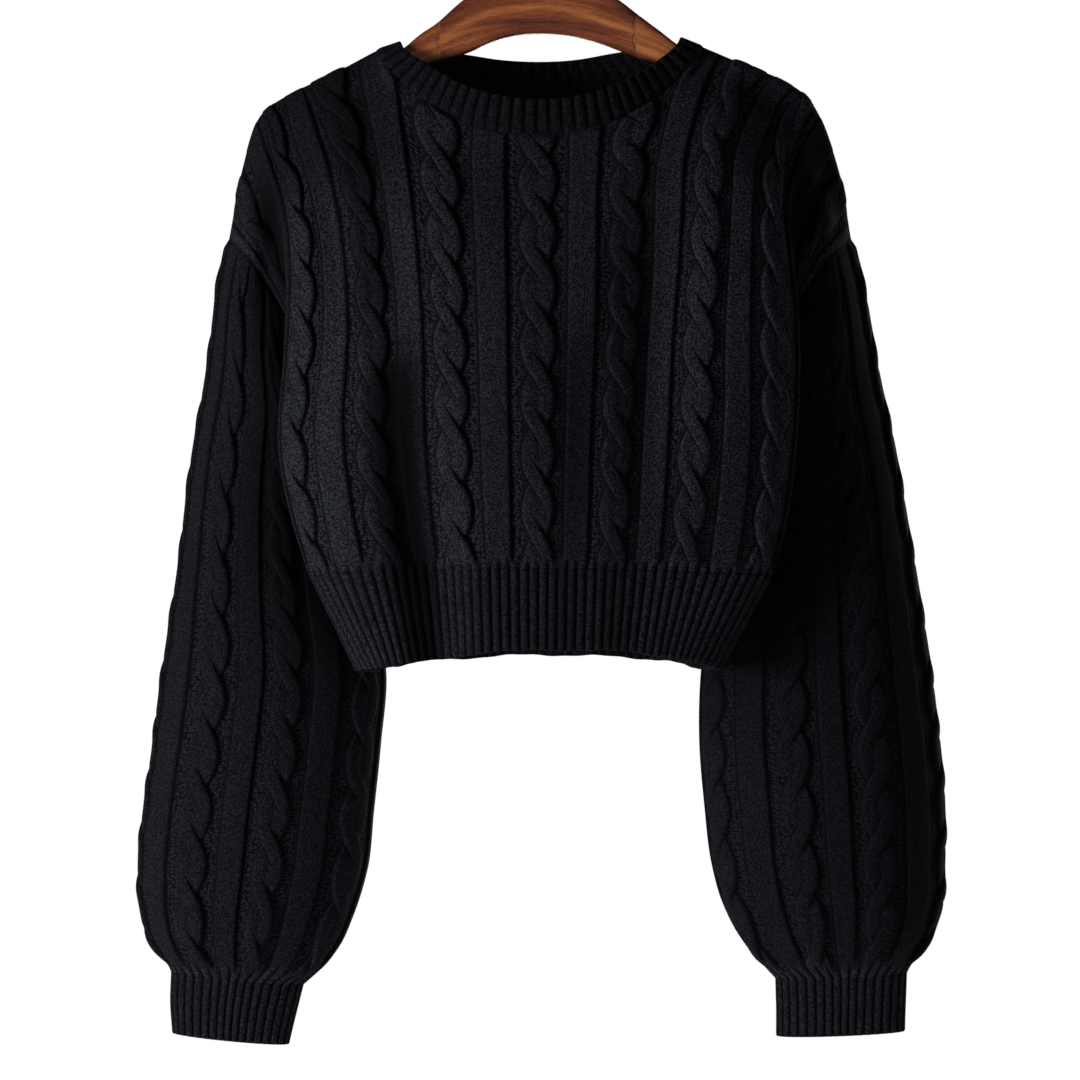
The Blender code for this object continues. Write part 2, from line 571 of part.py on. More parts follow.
def inset(points, norms, closed, inward_hint):
    """Mitred in-surface offset of half a seam gap for each boundary point."""
    p, n = np.asarray(points), np.asarray(norms)
    count = len(p)
    seg = []
    for i in range(count if closed else count - 1):
        j = (i + 1) % count
        run = unit((p[j] - p[i])[None])[0]
        lean = unit((n[i] + n[j])[None])[0]
        side = unit(np.cross(lean, run)[None])[0]
        seg.append(side)
    moved = np.zeros_like(p)
    for i in range(count):
        if closed:
            one, two = seg[i - 1], seg[i]
        else:
            one, two = seg[max(i - 1, 0)], seg[min(i, count - 2)]
        moved[i] = SEAM_GAP / 2.0 * (one + two) / max(1.0 + float(one @ two), 0.5)
    return moved * inward_hint


def plain(name, colour, rough, metal=0.0):
    made = bpy.data.materials.new(name)
    made.use_nodes = True
    shader = next(n for n in made.node_tree.nodes if n.type == "BSDF_PRINCIPLED")
    shader.inputs["Base Color"].default_value = (*colour, 1.0)
    shader.inputs["Roughness"].default_value = rough
    shader.inputs["Metallic"].default_value = metal
    return made


# ------------------------------------------------------------------ panel pieces
FIRST_ROW = W_UNDERARM * 330.0 - 7.0 * LOBE / 2.0
LOW_ROWS = [0.0, 5.0] + [FIRST_ROW + LOBE / 2.0 * i for i in range(13)]
TOP_SHARES = (0.18, 0.36, 0.54, 0.70, 0.84, 0.92, 0.965, 1.0)
ROWS = len(LOW_ROWS) + len(TOP_SHARES)
ROW_UNDERARM = 9
BELLY = ([0.5, 0.5] + [float(i % 2) for i in range(13)]
         + [1.0, 0.0, 1.0, 0.0, 1.0, 0.5, 0.5, 0.5])
INNER_ROWS = (1.6, 4.5, 7.2, 9.4, 12.0, 14.5, 16.5, 18.2, 19.3, 20.2, 21.2)
EDGE_ROWS = (1.6, 5.2, 8.5, 9.4, 10.4, 12.0, 14.2, 16.4, 18.6, 20.2, 21.2)
INNER_HALF = (0.65, 1.2, 1.5, 1.75, 2.1, 2.45, 2.78, 3.1, 3.28, 3.42, 3.6, 3.8, 4.0, 4.2, 4.36)


def panel_columns(belly):
    stops = [-K_EDGE]
    for n in range(-(PANEL_REPEATS // 2), PANEL_REPEATS // 2 + 1):
        stops += [n + stop for stop in cable_stops(belly)]
    stops += [K_EDGE, -K_NECK, K_NECK, -1.44, 1.44]
    return np.array(sorted(stops))


def row_level(face, wale, row):
    """Level of a row: even along the cloth up to the shoulders, shared out above."""
    full = cloth_length(face, wale)
    if row < len(LOW_ROWS):
        return LOW_ROWS[row] / full
    share = TOP_SHARES[row - len(LOW_ROWS)]
    return (LOW_ROWS[-1] + (full - LOW_ROWS[-1]) * share) / full


def panel_normals(face, wale, level):
    flip = 1.0 if face == "front" else -1.0
    wale = np.clip(wale, -K_EDGE + 2e-3, K_EDGE - 2e-3)
    return normals(lambda a, b: panel_surface(face, a, b), wale, level, flip=flip)


class Panel:
    """Base grid of the front or the back."""

    def __init__(self, face):
        self.face = face
        wales, levels = [], []
        for row in range(ROWS):
            wale = panel_columns(BELLY[row] if 0 < row < ROWS - 1 else 0.5)
            wales.append(wale)
            levels.append(row_level(face, wale, row))
        self.wale, self.level = np.array(wales), np.array(levels)
        self.base = panel_surface(face, self.wale, self.level)
        self.normal = panel_normals(face, self.wale, self.level)
        self.cols = self.wale.shape[1]
        relief = np.array([cable_relief(self.wale[r], BELLY[r]) for r in range(ROWS)])
        relief[0, :] = relief[-1, :] = 0.0
        relief[:, 0] = relief[:, -1] = 0.0
        deep = (ramp((np.abs(self.wale) - 3.40) / 0.40) * ramp((self.level - 0.36) / 0.08)
                * ramp((0.88 - self.level) / 0.08))
        self.relief = relief * (1.0 - 0.85 * deep)
        self.relief[ROW_UNDERARM + 1:, [1, -2]] *= 0.2
        self.thick = np.full(self.wale.shape, WALL)
        self.calm_corners()

    def calm_corners(self):
        """Even normals and low relief beside the neck points, where the cloth turns over."""
        for col in range(self.cols):
            wale = self.wale[-1, col]
            if not 1.3 < abs(wale) < 1.7:
                continue
            for row, keep in ((18, 1.0), (19, 0.8), (20, 0.5), (21, 0.0)):
                self.relief[row, col] *= keep
                if abs(wale) < 1.4 or abs(wale) > 1.6:
                    continue
                level = self.level[row, col]
                pair = panel_normals(self.face, np.array([wale - 0.2, wale + 0.2]),
                                     np.array([level, level]))
                self.normal[row, col] = unit(pair.sum(axis=0)[None])[0]

    def share(self, row, col, others):
        """Set a seam station's normal to the mean of the pieces that meet there."""
        own = self.normal[row, col]
        mean = unit((own + sum(others))[None])[0]
        lean = min([float(mean @ own)] + [float(mean @ other) for other in others])
        self.normal[row, col] = mean
        self.thick[row, col] = WALL / max(lean, 0.66)


front, back = Panel("front"), Panel("back")
ARM_ROWS = list(range(ROW_UNDERARM, ROWS))
STATION_S = ([float(armhole_s(front.level[r, 0], "front")) for r in ARM_ROWS]
             + [float(armhole_s(back.level[r, 0], "back")) for r in ARM_ROWS[-2:0:-1]])


def sleeve_normals(side, s, t):
    return normals(lambda a, b: sleeve(side, a, b), s, t, flip=-1.0 if side else 1.0)


class Around:
    """Even running coordinate of a band: front left to right, then back right to left."""

    def __init__(self, reach, point):
        front_k = np.linspace(-reach, reach, 181)
        back_k = np.linspace(reach, -reach, 181)
        pts = np.vstack([point("front", front_k), point("back", back_k)[1:]])
        run = np.concatenate([[0.0], np.cumsum(np.linalg.norm(np.diff(pts, axis=0), axis=1))])
        self.length = run[-1]
        self.run = run / run[-1]
        self.turn = self.run[180]
        self.front_k, self.back_k = front_k, back_k

    def wale(self, s):
        s = np.asarray(s, float) % 1.0
        is_back = s > self.turn
        ahead = np.interp(s, self.run[:181], self.front_k)
        behind = np.interp(s, self.run[180:], self.back_k)
        return np.where(is_back, behind, ahead), is_back

    def s(self, face, wale):
        if face == "front":
            return float(np.interp(wale, self.front_k, self.run[:181]))
        return float(np.interp(-wale, -self.back_k, self.run[180:]))


def faced(around, s, function):
    """Evaluate function(face, wale) by running coordinate."""
    wale, is_back = around.wale(s)
    return np.where(is_back[..., None], function("back", wale), function("front", wale))


def hem_bottom(face, wale):
    got = both_sides(HEM[face], wale)
    got[..., 1] += 0.8 * fold_push(face, wale, np.zeros_like(wale))
    return got


def hem_seam(face, wale):
    return panel_surface(face, wale, np.zeros_like(wale))


hem_around = Around(K_EDGE, lambda f, k: 0.5 * hem_seam(f, k) + 0.5 * hem_bottom(f, k))
neck_around = Around(K_NECK, lambda f, k: 0.5 * top_edge(f, k) + 0.5 * both_sides(COLLAR[f], k))


def hem_surface(s, v):
    s, v = np.broadcast_arrays(np.asarray(s, float), np.asarray(v, float))
    low, high = faced(hem_around, s, hem_bottom), faced(hem_around, s, hem_seam)
    return high + (low - high) * v[..., None]


def neck_surface(s, v):
    s, v = np.broadcast_arrays(np.asarray(s, float), np.asarray(v, float))
    low = faced(neck_around, s, top_edge)
    high = faced(neck_around, s, lambda f, k: both_sides(COLLAR[f], k))
    return low + (high - low) * v[..., None]


def share_seams():
    """Give both pieces at every seam the same normals and thicknesses."""
    nf, nb = front.normal.copy(), back.normal.copy()
    for side, col in ((0, 0), (1, front.cols - 1)):
        ns = sleeve_normals(side, np.array(STATION_S), np.zeros(len(STATION_S)))
        ns_front = {r: ns[i] for i, r in enumerate(ARM_ROWS)}
        ns_back = {ARM_ROWS[-1]: ns[len(ARM_ROWS) - 1], ARM_ROWS[0]: ns[0]}
        for i, r in enumerate(ARM_ROWS[-2:0:-1]):
            ns_back[r] = ns[len(ARM_ROWS) + i]
        for r in range(ROWS):
            if r < ROW_UNDERARM:
                front.share(r, col, [nb[r, col]])
                back.share(r, col, [nf[r, col]])
            elif r in (ROW_UNDERARM, ROWS - 1):
                front.share(r, col, [nb[r, col], ns_front[r]])
                back.share(r, col, [nf[r, col], ns_front[r]])
            else:
                front.share(r, col, [ns_front[r]])
                back.share(r, col, [ns_back[r]])
    for c in range(1, front.cols - 1):
        wale = front.wale[-1, c]
        if abs(wale) > K_NECK + 1e-6:
            front.share(ROWS - 1, c, [nb[-1, c]])
            back.share(ROWS - 1, c, [nf[-1, c]])
            continue
        for piece in (front, back):
            at = np.array([neck_around.s(piece.face, wale)])
            piece.normal[-1, c] = normals(neck_surface, at, np.array([0.1]), flip=1.0)[0]
    for c in range(1, front.cols - 1):
        if abs(abs(front.wale[-1, c]) - K_NECK) < 1e-6:
            step = -1 if front.wale[-1, c] < 0 else 1
            near = 2.0 * front.normal[-1, c + step] + front.normal[-1, c - step] + back.normal[-1, c - step]
            near[1] = 0.0
            for piece in (front, back):
                piece.normal[-1, c] = unit(near[None])[0]
                piece.thick[-1, c] = WALL * 1.1
    for col, lean in ((0, -0.15), (front.cols - 1, 0.15)):
        for piece in (front, back):
            piece.normal[ROW_UNDERARM, col] = unit(np.array([[lean, 0.5, -0.85]]))[0]
            piece.thick[ROW_UNDERARM, col] = WALL * 1.35


share_seams()


def turned(face, one, two, cols):
    """Whether a rim quad takes the other diagonal, so that it matches its neighbour's rim."""
    if face == "front":
        return (one[0] == two[0] == 0
                or (one[1] == two[1] == cols - 1 and min(one[0], two[0]) >= ROW_UNDERARM))
    neck = max(abs(back.wale[one]), abs(back.wale[two])) <= K_NECK + 1e-6
    return ((one[0] == two[0] == ROWS - 1 and neck)
            or (one[1] == two[1] == 0 and min(one[0], two[0]) >= ROW_UNDERARM))


def build_panel(piece, name, material):
    body = Body(name)
    rows, cols = ROWS, piece.cols
    loop = ([(0, c) for c in range(cols)] + [(r, cols - 1) for r in range(1, rows)]
            + [(rows - 1, c) for c in range(cols - 2, -1, -1)]
            + [(r, 0) for r in range(rows - 2, 0, -1)])
    loop_points = np.array([piece.base[rc] for rc in loop])
    loop_norms = np.array([piece.normal[rc] for rc in loop])
    move = inset(loop_points, loop_norms, True, 1.0 if piece.face == "front" else -1.0)
    outer = piece.base + piece.relief[..., None] * piece.normal
    for rc, shift in zip(loop, move):
        outer[rc] = piece.base[rc] + shift
    ids = np.array([body.add(outer[r]) for r in range(rows)])
    for r in range(rows - 1):
        for c in range(cols - 1):
            corners = [ids[r, c], ids[r, c + 1], ids[r + 1, c + 1], ids[r + 1, c]]
            body.quad(*(corners if piece.wale[r, c] < 0 else corners[1:] + corners[:1]))
    rim = [piece.base[rc] - piece.thick[rc] * piece.normal[rc] + shift
           for rc, shift in zip(loop, move)]
    rim_ids = body.add(rim)
    count = len(loop)
    for i in range(count):
        j = (i + 1) % count
        if turned(piece.face, loop[i], loop[j], cols):
            body.quad(ids[loop[i]], rim_ids[i], rim_ids[j], ids[loop[j]])
        else:
            body.quad(ids[loop[j]], ids[loop[i]], rim_ids[i], rim_ids[j])
    # plain inside
    half = np.array(INNER_HALF)
    wales = np.concatenate([-half[::-1], [0.0], half])
    near = ramp((np.abs(wales) - 3.2) / 0.9)
    spans = np.outer(INNER_ROWS, 1.0 - near) + np.outer(EDGE_ROWS, near)
    every = np.array([row_level(piece.face, wales, row) for row in range(rows)])
    corner = np.abs(np.abs(wales) - 1.35) < 0.2
    spans[-1, corner] = np.where(np.abs(wales[corner]) > 1.4, 20.0, 20.8)
    spans[-2, corner] = np.where(np.abs(wales[corner]) > 1.4, 19.3, 19.8)
    spans[-3, corner] = np.where(np.abs(wales[corner]) > 1.4, 18.7, 19.0)
    levels = np.array([[np.interp(spans[i, j], np.arange(rows), every[:, j])
                        for j in range(len(wales))] for i in range(len(spans))])
    grid_w = np.broadcast_to(wales, levels.shape)
    inner = (panel_surface(piece.face, grid_w, levels)
             - WALL * panel_normals(piece.face, grid_w, levels))
    inner_ids = np.array([body.add(line) for line in inner])
    m, n = levels.shape
    for r in range(m - 1):
        for c in range(n - 1):
            corners = [inner_ids[r, c], inner_ids[r + 1, c], inner_ids[r + 1, c + 1],
                       inner_ids[r, c + 1]]
            body.quad(*(corners if wales[c] < 0 else corners[1:] + corners[:1]))
    across = [(piece.wale[0, c] + K_EDGE) / (2 * K_EDGE) for c in range(cols)]
    up = [r / (rows - 1) for r in range(rows)]
    inner_across = [(w + K_EDGE) / (2 * K_EDGE) for w in wales]
    inner_across[0], inner_across[-1] = 0.0, 1.0
    inner_up = [span / (rows - 1) for span in EDGE_ROWS]
    inner_up[0], inner_up[-1] = 0.0, 1.0
    rim_at = {rc: rim_ids[i] for i, rc in enumerate(loop)}
    body.strip([rim_at[(0, c)] for c in range(cols)], across,
               list(inner_ids[0]), inner_across, False)
    body.strip([rim_at[(rows - 1, c)] for c in range(cols)], across,
               list(inner_ids[-1]), inner_across, False)
    body.strip([rim_at[(r, 0)] for r in range(rows)], up, list(inner_ids[:, 0]), inner_up, False)
    body.strip([rim_at[(r, cols - 1)] for r in range(rows)], up,
               list(inner_ids[:, -1]), inner_up, False)
    return body.build(material)


# ------------------------------------------------------------------------- tubes
class Tube:
    """A sewn tube: outer rings, a free or sewn end, plain inner rings."""

    def __init__(self, name, surface, flip):
        self.name, self.surface, self.flip = name, surface, flip

    def normal(self, s, v):
        return normals(self.surface, s, v, flip=self.flip)

    def build(self, material, start, end, outer_rows, inner_cols, inner_rows):
        """start and end: (s, points, normals, thickness, shift) of seam stations, or None.
        outer_rows: (v, s columns, heights)."""
        body = Body(self.name)
        outer = []
        if start:
            outer.append((start[0], body.add(start[1] + start[4])))
        for v, cols, heights in outer_rows:
            v_all = np.full(len(cols), v)
            norm = self.normal(cols, v_all)
            outer.append((cols, body.add(self.surface(cols, v_all) + norm * heights[:, None])))
        if end:
            outer.append((end[0], body.add(end[1] + end[4])))
        inner = []
        if start:
            inner.append((start[0], body.add(start[1] + start[4]
                                             - start[2] * start[3][:, None])))
        for v in inner_rows:
            v_all = np.full(len(inner_cols), v)
            inner.append((inner_cols, body.add(self.surface(inner_cols, v_all)
                                               - WALL * self.normal(inner_cols, v_all))))
        if end:
            inner.append((end[0], body.add(end[1] + end[4] - end[2] * end[3][:, None])))
        rings = outer + inner[::-1]
        for k in range(len(rings)):
            (at_a, ids_a), (at_b, ids_b) = rings[k], rings[(k + 1) % len(rings)]
            if end and k == len(outer) - 1:
                at_a, ids_a, at_b, ids_b = at_b, ids_b, at_a, ids_a
            body.strip(ids_a, list(at_a), ids_b, list(at_b), True)
        return body.build(material)


def band_stations(around, row, columns):
    """Seam stations of a band from the panels' rows."""
    use_f = [c for c in range(front.cols) if columns(front.wale[row, c])]
    picks = [("front", front, c) for c in use_f] + [("back", back, c) for c in use_f[-2:0:-1]]
    s = np.array([around.s(face, piece.wale[row, c]) for face, piece, c in picks])
    points = np.array([piece.base[row, c] for _, piece, c in picks])
    norms = np.array([piece.normal[row, c] for _, piece, c in picks])
    thick = np.array([piece.thick[row, c] for _, piece, c in picks])
    return s, points, norms, thick


def with_inset(stations, hint):
    s, points, norms, thick = stations
    return s, points, norms, thick, inset(points, norms, True, hint)


def rib_columns(count):
    cols = (np.arange(2 * count) + 0.5) / (2 * count)
    return cols, np.where(np.arange(2 * count) % 2 == 0, BAND_RIB, 0.0)


def build_band(name, surface, flip, stations, hint, ribs, first, inner_cols, material):
    cols, high = rib_columns(ribs)
    rows = [(first, cols, high), (1.0, cols, high)]
    return Tube(name, surface, flip).build(material, with_inset(stations, hint), None, rows,
                                           inner_cols, (min(2.5 * first, 0.5), 1.0))


def neck_inside():
    """Inner columns of the neck band, with one on the crest over the board at each side."""
    even = (np.arange(64) + 0.5) / 64
    crest = np.array([neck_around.s("front", k) % 1.0 for k in (-K_NECK, K_NECK)])
    gap = np.abs((even[:, None] - crest + 0.5) % 1.0 - 0.5).min(axis=1)
    extra = np.concatenate([crest, (crest + 0.009) % 1.0, (crest - 0.009) % 1.0])
    return np.sort(np.concatenate([even[gap > 0.014], extra]))


def build_sleeve(side, material, cuff_material):
    word = "right" if side else "left"
    flip = -1.0 if side else 1.0
    hint = -1.0 if side else 1.0
    tube = Tube("sleeve_" + word, lambda s, t: sleeve(side, s, t), flip)
    edge_col = front.cols - 1 if side else 0
    picks = ([(front, r) for r in ARM_ROWS] + [(back, r) for r in ARM_ROWS[-2:0:-1]])
    start = (np.array(STATION_S),
             np.array([piece.base[r, edge_col] for piece, r in picks]),
             np.array([piece.normal[r, edge_col] for piece, r in picks]),
             np.array([piece.thick[r, edge_col] for piece, r in picks]))
    phase = SLEEVE_PHASE[word]

    def columns(belly):
        stops = [((n + phase + stop) / SLEEVE_REPEATS) % 1.0
                 for n in range(SLEEVE_REPEATS) for stop in cable_stops(belly)]
        if min(stops) > 0.01:
            stops.append(0.0)
        return np.array(sorted(stops))

    runs = [(7.0, 0.5)] + [(24.0 + LOBE / 2.0 * i, float(i % 2)) for i in range(22)]
    runs += [(449.0, 0.5), (464.0, 0.5)]
    rows = []
    for run, belly in runs:
        cols = columns(belly)
        gather = 1.0 + 0.7 * float(ramp((run - 420.0) / 40.0))
        deep = (1.0 - ramp((run - 20.0) / 60.0)) * ramp((np.abs(cols - 0.5) - 0.10) / 0.12)
        gather *= 0.2 if run < 10.0 else 1.0
        rows.append((run / SLEEVE_RUN, cols, gather * (1.0 - 0.85 * deep)
                     * cable_relief(cols * SLEEVE_REPEATS - phase, belly)))
    ends = columns(0.5)
    ones = np.ones_like(ends)
    cuff_rows = CUFF_RIGHT if side else CUFF_LEFT
    cuff = Tube("cuff_" + word, lambda s, v: ring(cuff_rows, s, v), flip)
    n_sleeve, n_cuff = tube.normal(ends, ones), cuff.normal(ends, 0.0 * ones)
    n_end = unit(n_sleeve + n_cuff)
    lean = np.minimum(np.sum(n_end * n_sleeve, axis=1), np.sum(n_end * n_cuff, axis=1))
    end = (ends, ring(cuff_rows, ends, 0.0 * ones), n_end, WALL / np.maximum(lean, 0.66))
    inner_cols = (np.arange(20) + 0.5) / 20
    tube.build(material, with_inset(start, hint), with_inset(end, -hint), rows, inner_cols,
               (0.022, 0.06, 0.11, 0.16, 0.22, 0.32, 0.45, 0.60, 0.74, 0.85, 0.92, 0.965))
    cols, high = rib_columns(CUFF_RIBS)
    cuff.build(cuff_material, with_inset(end, hint), None,
               [(0.09, cols, high), (1.0, cols, high)], (np.arange(24) + 0.5) / 24, (0.2, 1.0))


# ------------------------------------------------------------------------ hanger
def seat_line():
    """Top of the board under the cloth, just inside the sewn shoulder line."""
    line = []
    for side, rows, collar in ((0, SHOULDER_LEFT, COLLAR_FRONT_LEFT),
                               (1, SHOULDER_RIGHT, COLLAR_FRONT_RIGHT)):
        rows = np.array(rows)
        wales = np.array([1.5, 1.75, 2.1, 2.45, 2.68, 2.82])
        pts = table(rows, wales)[:, [0, 2]]
        rim = np.array([[collar[-1][1], collar[-1][3]]])
        pts = np.vstack([rim, pts])
        run = unit(np.gradient(pts, axis=0))
        down = np.stack([run[:, 1], -run[:, 0]], axis=1)
        down *= -np.sign(down[:, 1:2])
        room = np.full((len(pts), 1), WALL + SEAT_GAP + 0.05)
        room[:2] += 1.7
        room[2] += 0.5
        room[-2] += 0.6
        room[-1] += 2.0
        line.append(pts + down * room)
    return line


def build_board(material):
    left, right = seat_line()
    inner = [np.array(p) for p in BOARD_TOP]
    top = np.vstack([left[::-1], inner, right])
    order = np.argsort(top[:, 0])
    top = top[order]
    low = np.array(BOARD_BOTTOM)
    body = Body("hanger_wood")
    rings = []
    turn = 10
    for i, (x, z_top) in enumerate(top):
        z_low = float(smooth(low[:, 0], low[:, 1], x))
        if i in (0, len(top) - 1):
            z_low = z_top - 11.0
        half = BOARD / 2.0 * {0: 0.62, 1: 0.9}.get(min(i, len(top) - 1 - i), 1.0)
        mid_top, mid_low = z_top - half, z_low + half * 0.8
        pts = []
        for k in range(turn):
            a = math.pi * k / (turn - 1)
            pts.append((x, -half * math.cos(a), mid_top + half * math.sin(a)))
        for k in range(5):
            a = math.pi * k / 4
            pts.append((x, half * math.cos(a), mid_low - half * 0.8 * math.sin(a)))
        rings.append(body.add(pts))
    count = len(rings[0])
    for a, b in zip(rings, rings[1:]):
        for k in range(count):
            body.quad(a[k], a[(k + 1) % count], b[(k + 1) % count], b[k])
    for k in range(1, count - 1):
        body.faces.append((rings[0][0], rings[0][k + 1], rings[0][k]))
        body.faces.append((rings[-1][0], rings[-1][k], rings[-1][k + 1]))
    return body.build(material)


def build_hook(material):
    body = Body("hanger_hook")
    centre_z = -HOOK_IN
    radius = HOOK_IN + WIRE
    path = [(0.0, -81.7), (0.0, -72.0), (0.3, -63.0), (2.5, -56.0), (7.0, -50.0)]
    for step in range(17):
        a = math.radians(-52.0 + 15.5 * step)
        path.append((radius * math.cos(a), centre_z + radius * math.sin(a)))
    path.append((path[-1][0] - 3.0, path[-1][1] - 7.0))
    path = np.array(path)
    run = unit(np.gradient(path, axis=0))
    sides = 8
    rings = []
    for (x, z), (dx, dz) in zip(path, run):
        pts = []
        for k in range(sides):
            a = 2 * math.pi * k / sides
            out, across = WIRE * math.cos(a), WIRE * math.sin(a)
            pts.append((x - dz * out, across, z + dx * out))
        rings.append(body.add(pts))
    for a, b in zip(rings, rings[1:]):
        for k in range(sides):
            body.quad(a[k], a[(k + 1) % sides], b[(k + 1) % sides], b[k])
    for k in range(1, sides - 1):
        body.faces.append((rings[0][0], rings[0][k + 1], rings[0][k]))
        body.faces.append((rings[-1][0], rings[-1][k], rings[-1][k + 1]))
    return body.build(material)


# ---------------------------------------------------------------------- assembly
yarn = plain("yarn", (0.018, 0.019, 0.024), 0.9)
rib_yarn = plain("rib_yarn", (0.015, 0.016, 0.020), 0.92)
wood = plain("wood", (0.22, 0.085, 0.04), 0.45)
steel = plain("steel", (0.62, 0.62, 0.62), 0.3, 1.0)

build_panel(front, "front", yarn)
build_panel(back, "back", yarn)
build_sleeve(0, yarn, rib_yarn)
build_sleeve(1, yarn, rib_yarn)
build_band("hem_band", hem_surface, -1.0, band_stations(hem_around, 0, lambda k: True), -1.0,
           HEM_RIBS, 0.055, (np.arange(82) + 0.5) / 82, rib_yarn)
build_band("neck_band", neck_surface, 1.0,
           band_stations(neck_around, -1, lambda k: abs(k) <= K_NECK + 1e-6), 1.0,
           NECK_RIBS, 0.14, neck_inside(), rib_yarn)
build_board(wood)
build_hook(steel)
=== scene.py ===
"""A cropped cable-knit sweater on its wooden hanger: knitted cloth, finishes and studio.

X runs to the right, Y to the back and Z up, and the origin is the hook's hang point. The
tables are in millimetres, level and run are shares of a cloth's length, and every mesh is
made in metres. A wale is one repeat of the cable stitch, counted from the middle.
"""
import logging
import math
from dataclasses import dataclass
from enum import Enum
from typing import Any, Callable, Mapping, Sequence

import bmesh
import bpy
import numpy as np
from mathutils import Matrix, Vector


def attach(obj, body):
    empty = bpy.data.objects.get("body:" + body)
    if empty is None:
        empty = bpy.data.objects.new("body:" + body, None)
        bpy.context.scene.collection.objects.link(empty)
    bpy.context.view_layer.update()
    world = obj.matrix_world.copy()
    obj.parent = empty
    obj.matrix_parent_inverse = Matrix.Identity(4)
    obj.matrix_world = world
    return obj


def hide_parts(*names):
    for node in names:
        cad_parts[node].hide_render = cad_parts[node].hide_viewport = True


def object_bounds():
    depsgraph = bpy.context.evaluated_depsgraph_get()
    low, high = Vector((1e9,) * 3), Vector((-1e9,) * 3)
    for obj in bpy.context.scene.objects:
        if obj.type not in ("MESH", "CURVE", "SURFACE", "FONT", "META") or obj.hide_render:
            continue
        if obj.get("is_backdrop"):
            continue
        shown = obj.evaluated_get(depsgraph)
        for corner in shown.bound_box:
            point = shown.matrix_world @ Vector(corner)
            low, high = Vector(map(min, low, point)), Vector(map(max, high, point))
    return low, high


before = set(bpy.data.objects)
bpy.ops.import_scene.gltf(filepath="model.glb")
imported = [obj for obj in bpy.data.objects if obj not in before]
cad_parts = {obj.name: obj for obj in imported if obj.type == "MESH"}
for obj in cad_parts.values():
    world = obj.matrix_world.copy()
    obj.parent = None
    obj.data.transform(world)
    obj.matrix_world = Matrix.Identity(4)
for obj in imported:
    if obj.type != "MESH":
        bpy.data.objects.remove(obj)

log = logging.getLogger("sweater")
Array = np.ndarray
Surface = Callable[[Array, Array], Array]
Rows = Sequence[Sequence[float]]

# ------------------------------------------------------------------------- sizes
METRES = 0.001            # metres in a millimetre
WALL = 2.4                # plain cloth thickness
SEAT_GAP = 0.3            # between cloth and hanger
REPEAT = 59.0             # one cable, two grooves and one flat rib
PANEL_REPEATS = 9
SLEEVE_REPEATS = 7
LOBE = 39.0               # length of one cable crossing
COURSE = 2.1              # height of one row of stitches
CREASE_FAR = 4.0          # distance from a crossing's cut past which it isn't told
FIRST_ROW = 21.9          # first crossing above the hem
K_EDGE = 4.5              # wale of the panel's side edge
K_NECK = 1.5              # wale of the neck point
K_RIDGE = 3.35            # front fold beside the armhole
K_FLAP = 3.9              # wale of the fold between ridge and side edge
BAND_STEPS = 180          # steps that a band's length is measured in, front or back
NUDGE = 4e-3              # half the span that a cloth's slopes are taken over
W_UNDERARM = 0.48         # level of the underarm on the side edge
HEM_RIBS, NECK_RIBS, CUFF_RIBS = 106, 60, 36
SLEEVE_EVEN, CUFF_EVEN = 0.5, 0.3   # crowding of stitches at a flat section's edges
BOARD = 10.8              # hanger board thickness
SADDLE = 9.2              # outer radius of the cloth over the board
WIRE = 1.9                # hook wire radius
HOOK_IN = 22.0            # hook inner radius

# ------------------------------------------------------ guide tables, panels
# level | x of left side | x of right side | depth y | height z
FRONT_RIDGE = (
    (0.00, -160.3, 164.5, -36.0, -509.2),
    (0.12, -172.2, 173.6, -38.0, -470.9),
    (0.28, -182.0, 180.5, -40.0, -420.0),
    (0.48, -178.1, 183.1, -44.0, -355.1),
    (0.60, -175.9, 181.6, -45.0, -317.7),
    (0.72, -176.1, 177.5, -43.0, -279.3),
    (0.82, -180.7, 175.7, -38.0, -246.3),
    (0.90, -189.3, 182.9, -28.0, -219.0),
    (0.96, -197.5, 192.5, -15.0, -197.5),
    (1.00, -203.0, 203.8, 0.0, -182.0),
)
FRONT_FLAP = (
    (0.00, -154.0, 156.1, -24.0, -510.8),
    (0.12, -166.4, 167.1, -20.0, -476.5),
    (0.28, -167.9, 167.2, -18.0, -430.8),
    (0.48, -167.3, 168.7, -20.0, -368.5),
    (0.60, -171.0, 172.0, -26.0, -338.2),
    (0.72, -179.5, 180.0, -26.0, -304.5),
    (0.82, -189.0, 188.5, -23.0, -275.9),
    (0.90, -199.6, 199.6, -24.0, -254.9),
    (0.96, -208.1, 208.8, -16.0, -237.7),
    (1.00, -214.6, 218.2, 0.0, -223.8),
)
BACK_RIDGE = (
    (0.00, -134.0, 134.0, 12.0, -509.0),
    (0.12, -134.0, 134.0, 16.0, -469.9),
    (0.28, -130.0, 130.0, 20.0, -417.4),
    (0.48, -128.0, 128.0, 25.0, -350.7),
    (0.60, -142.0, 142.0, 33.0, -311.8),
    (0.72, -162.0, 163.0, 38.0, -272.4),
    (0.82, -177.0, 177.0, 36.0, -239.2),
    (0.90, -189.5, 188.0, 27.0, -212.9),
    (0.96, -199.0, 197.0, 14.0, -194.0),
    (1.00, -203.0, 203.8, 0.0, -182.0),
)
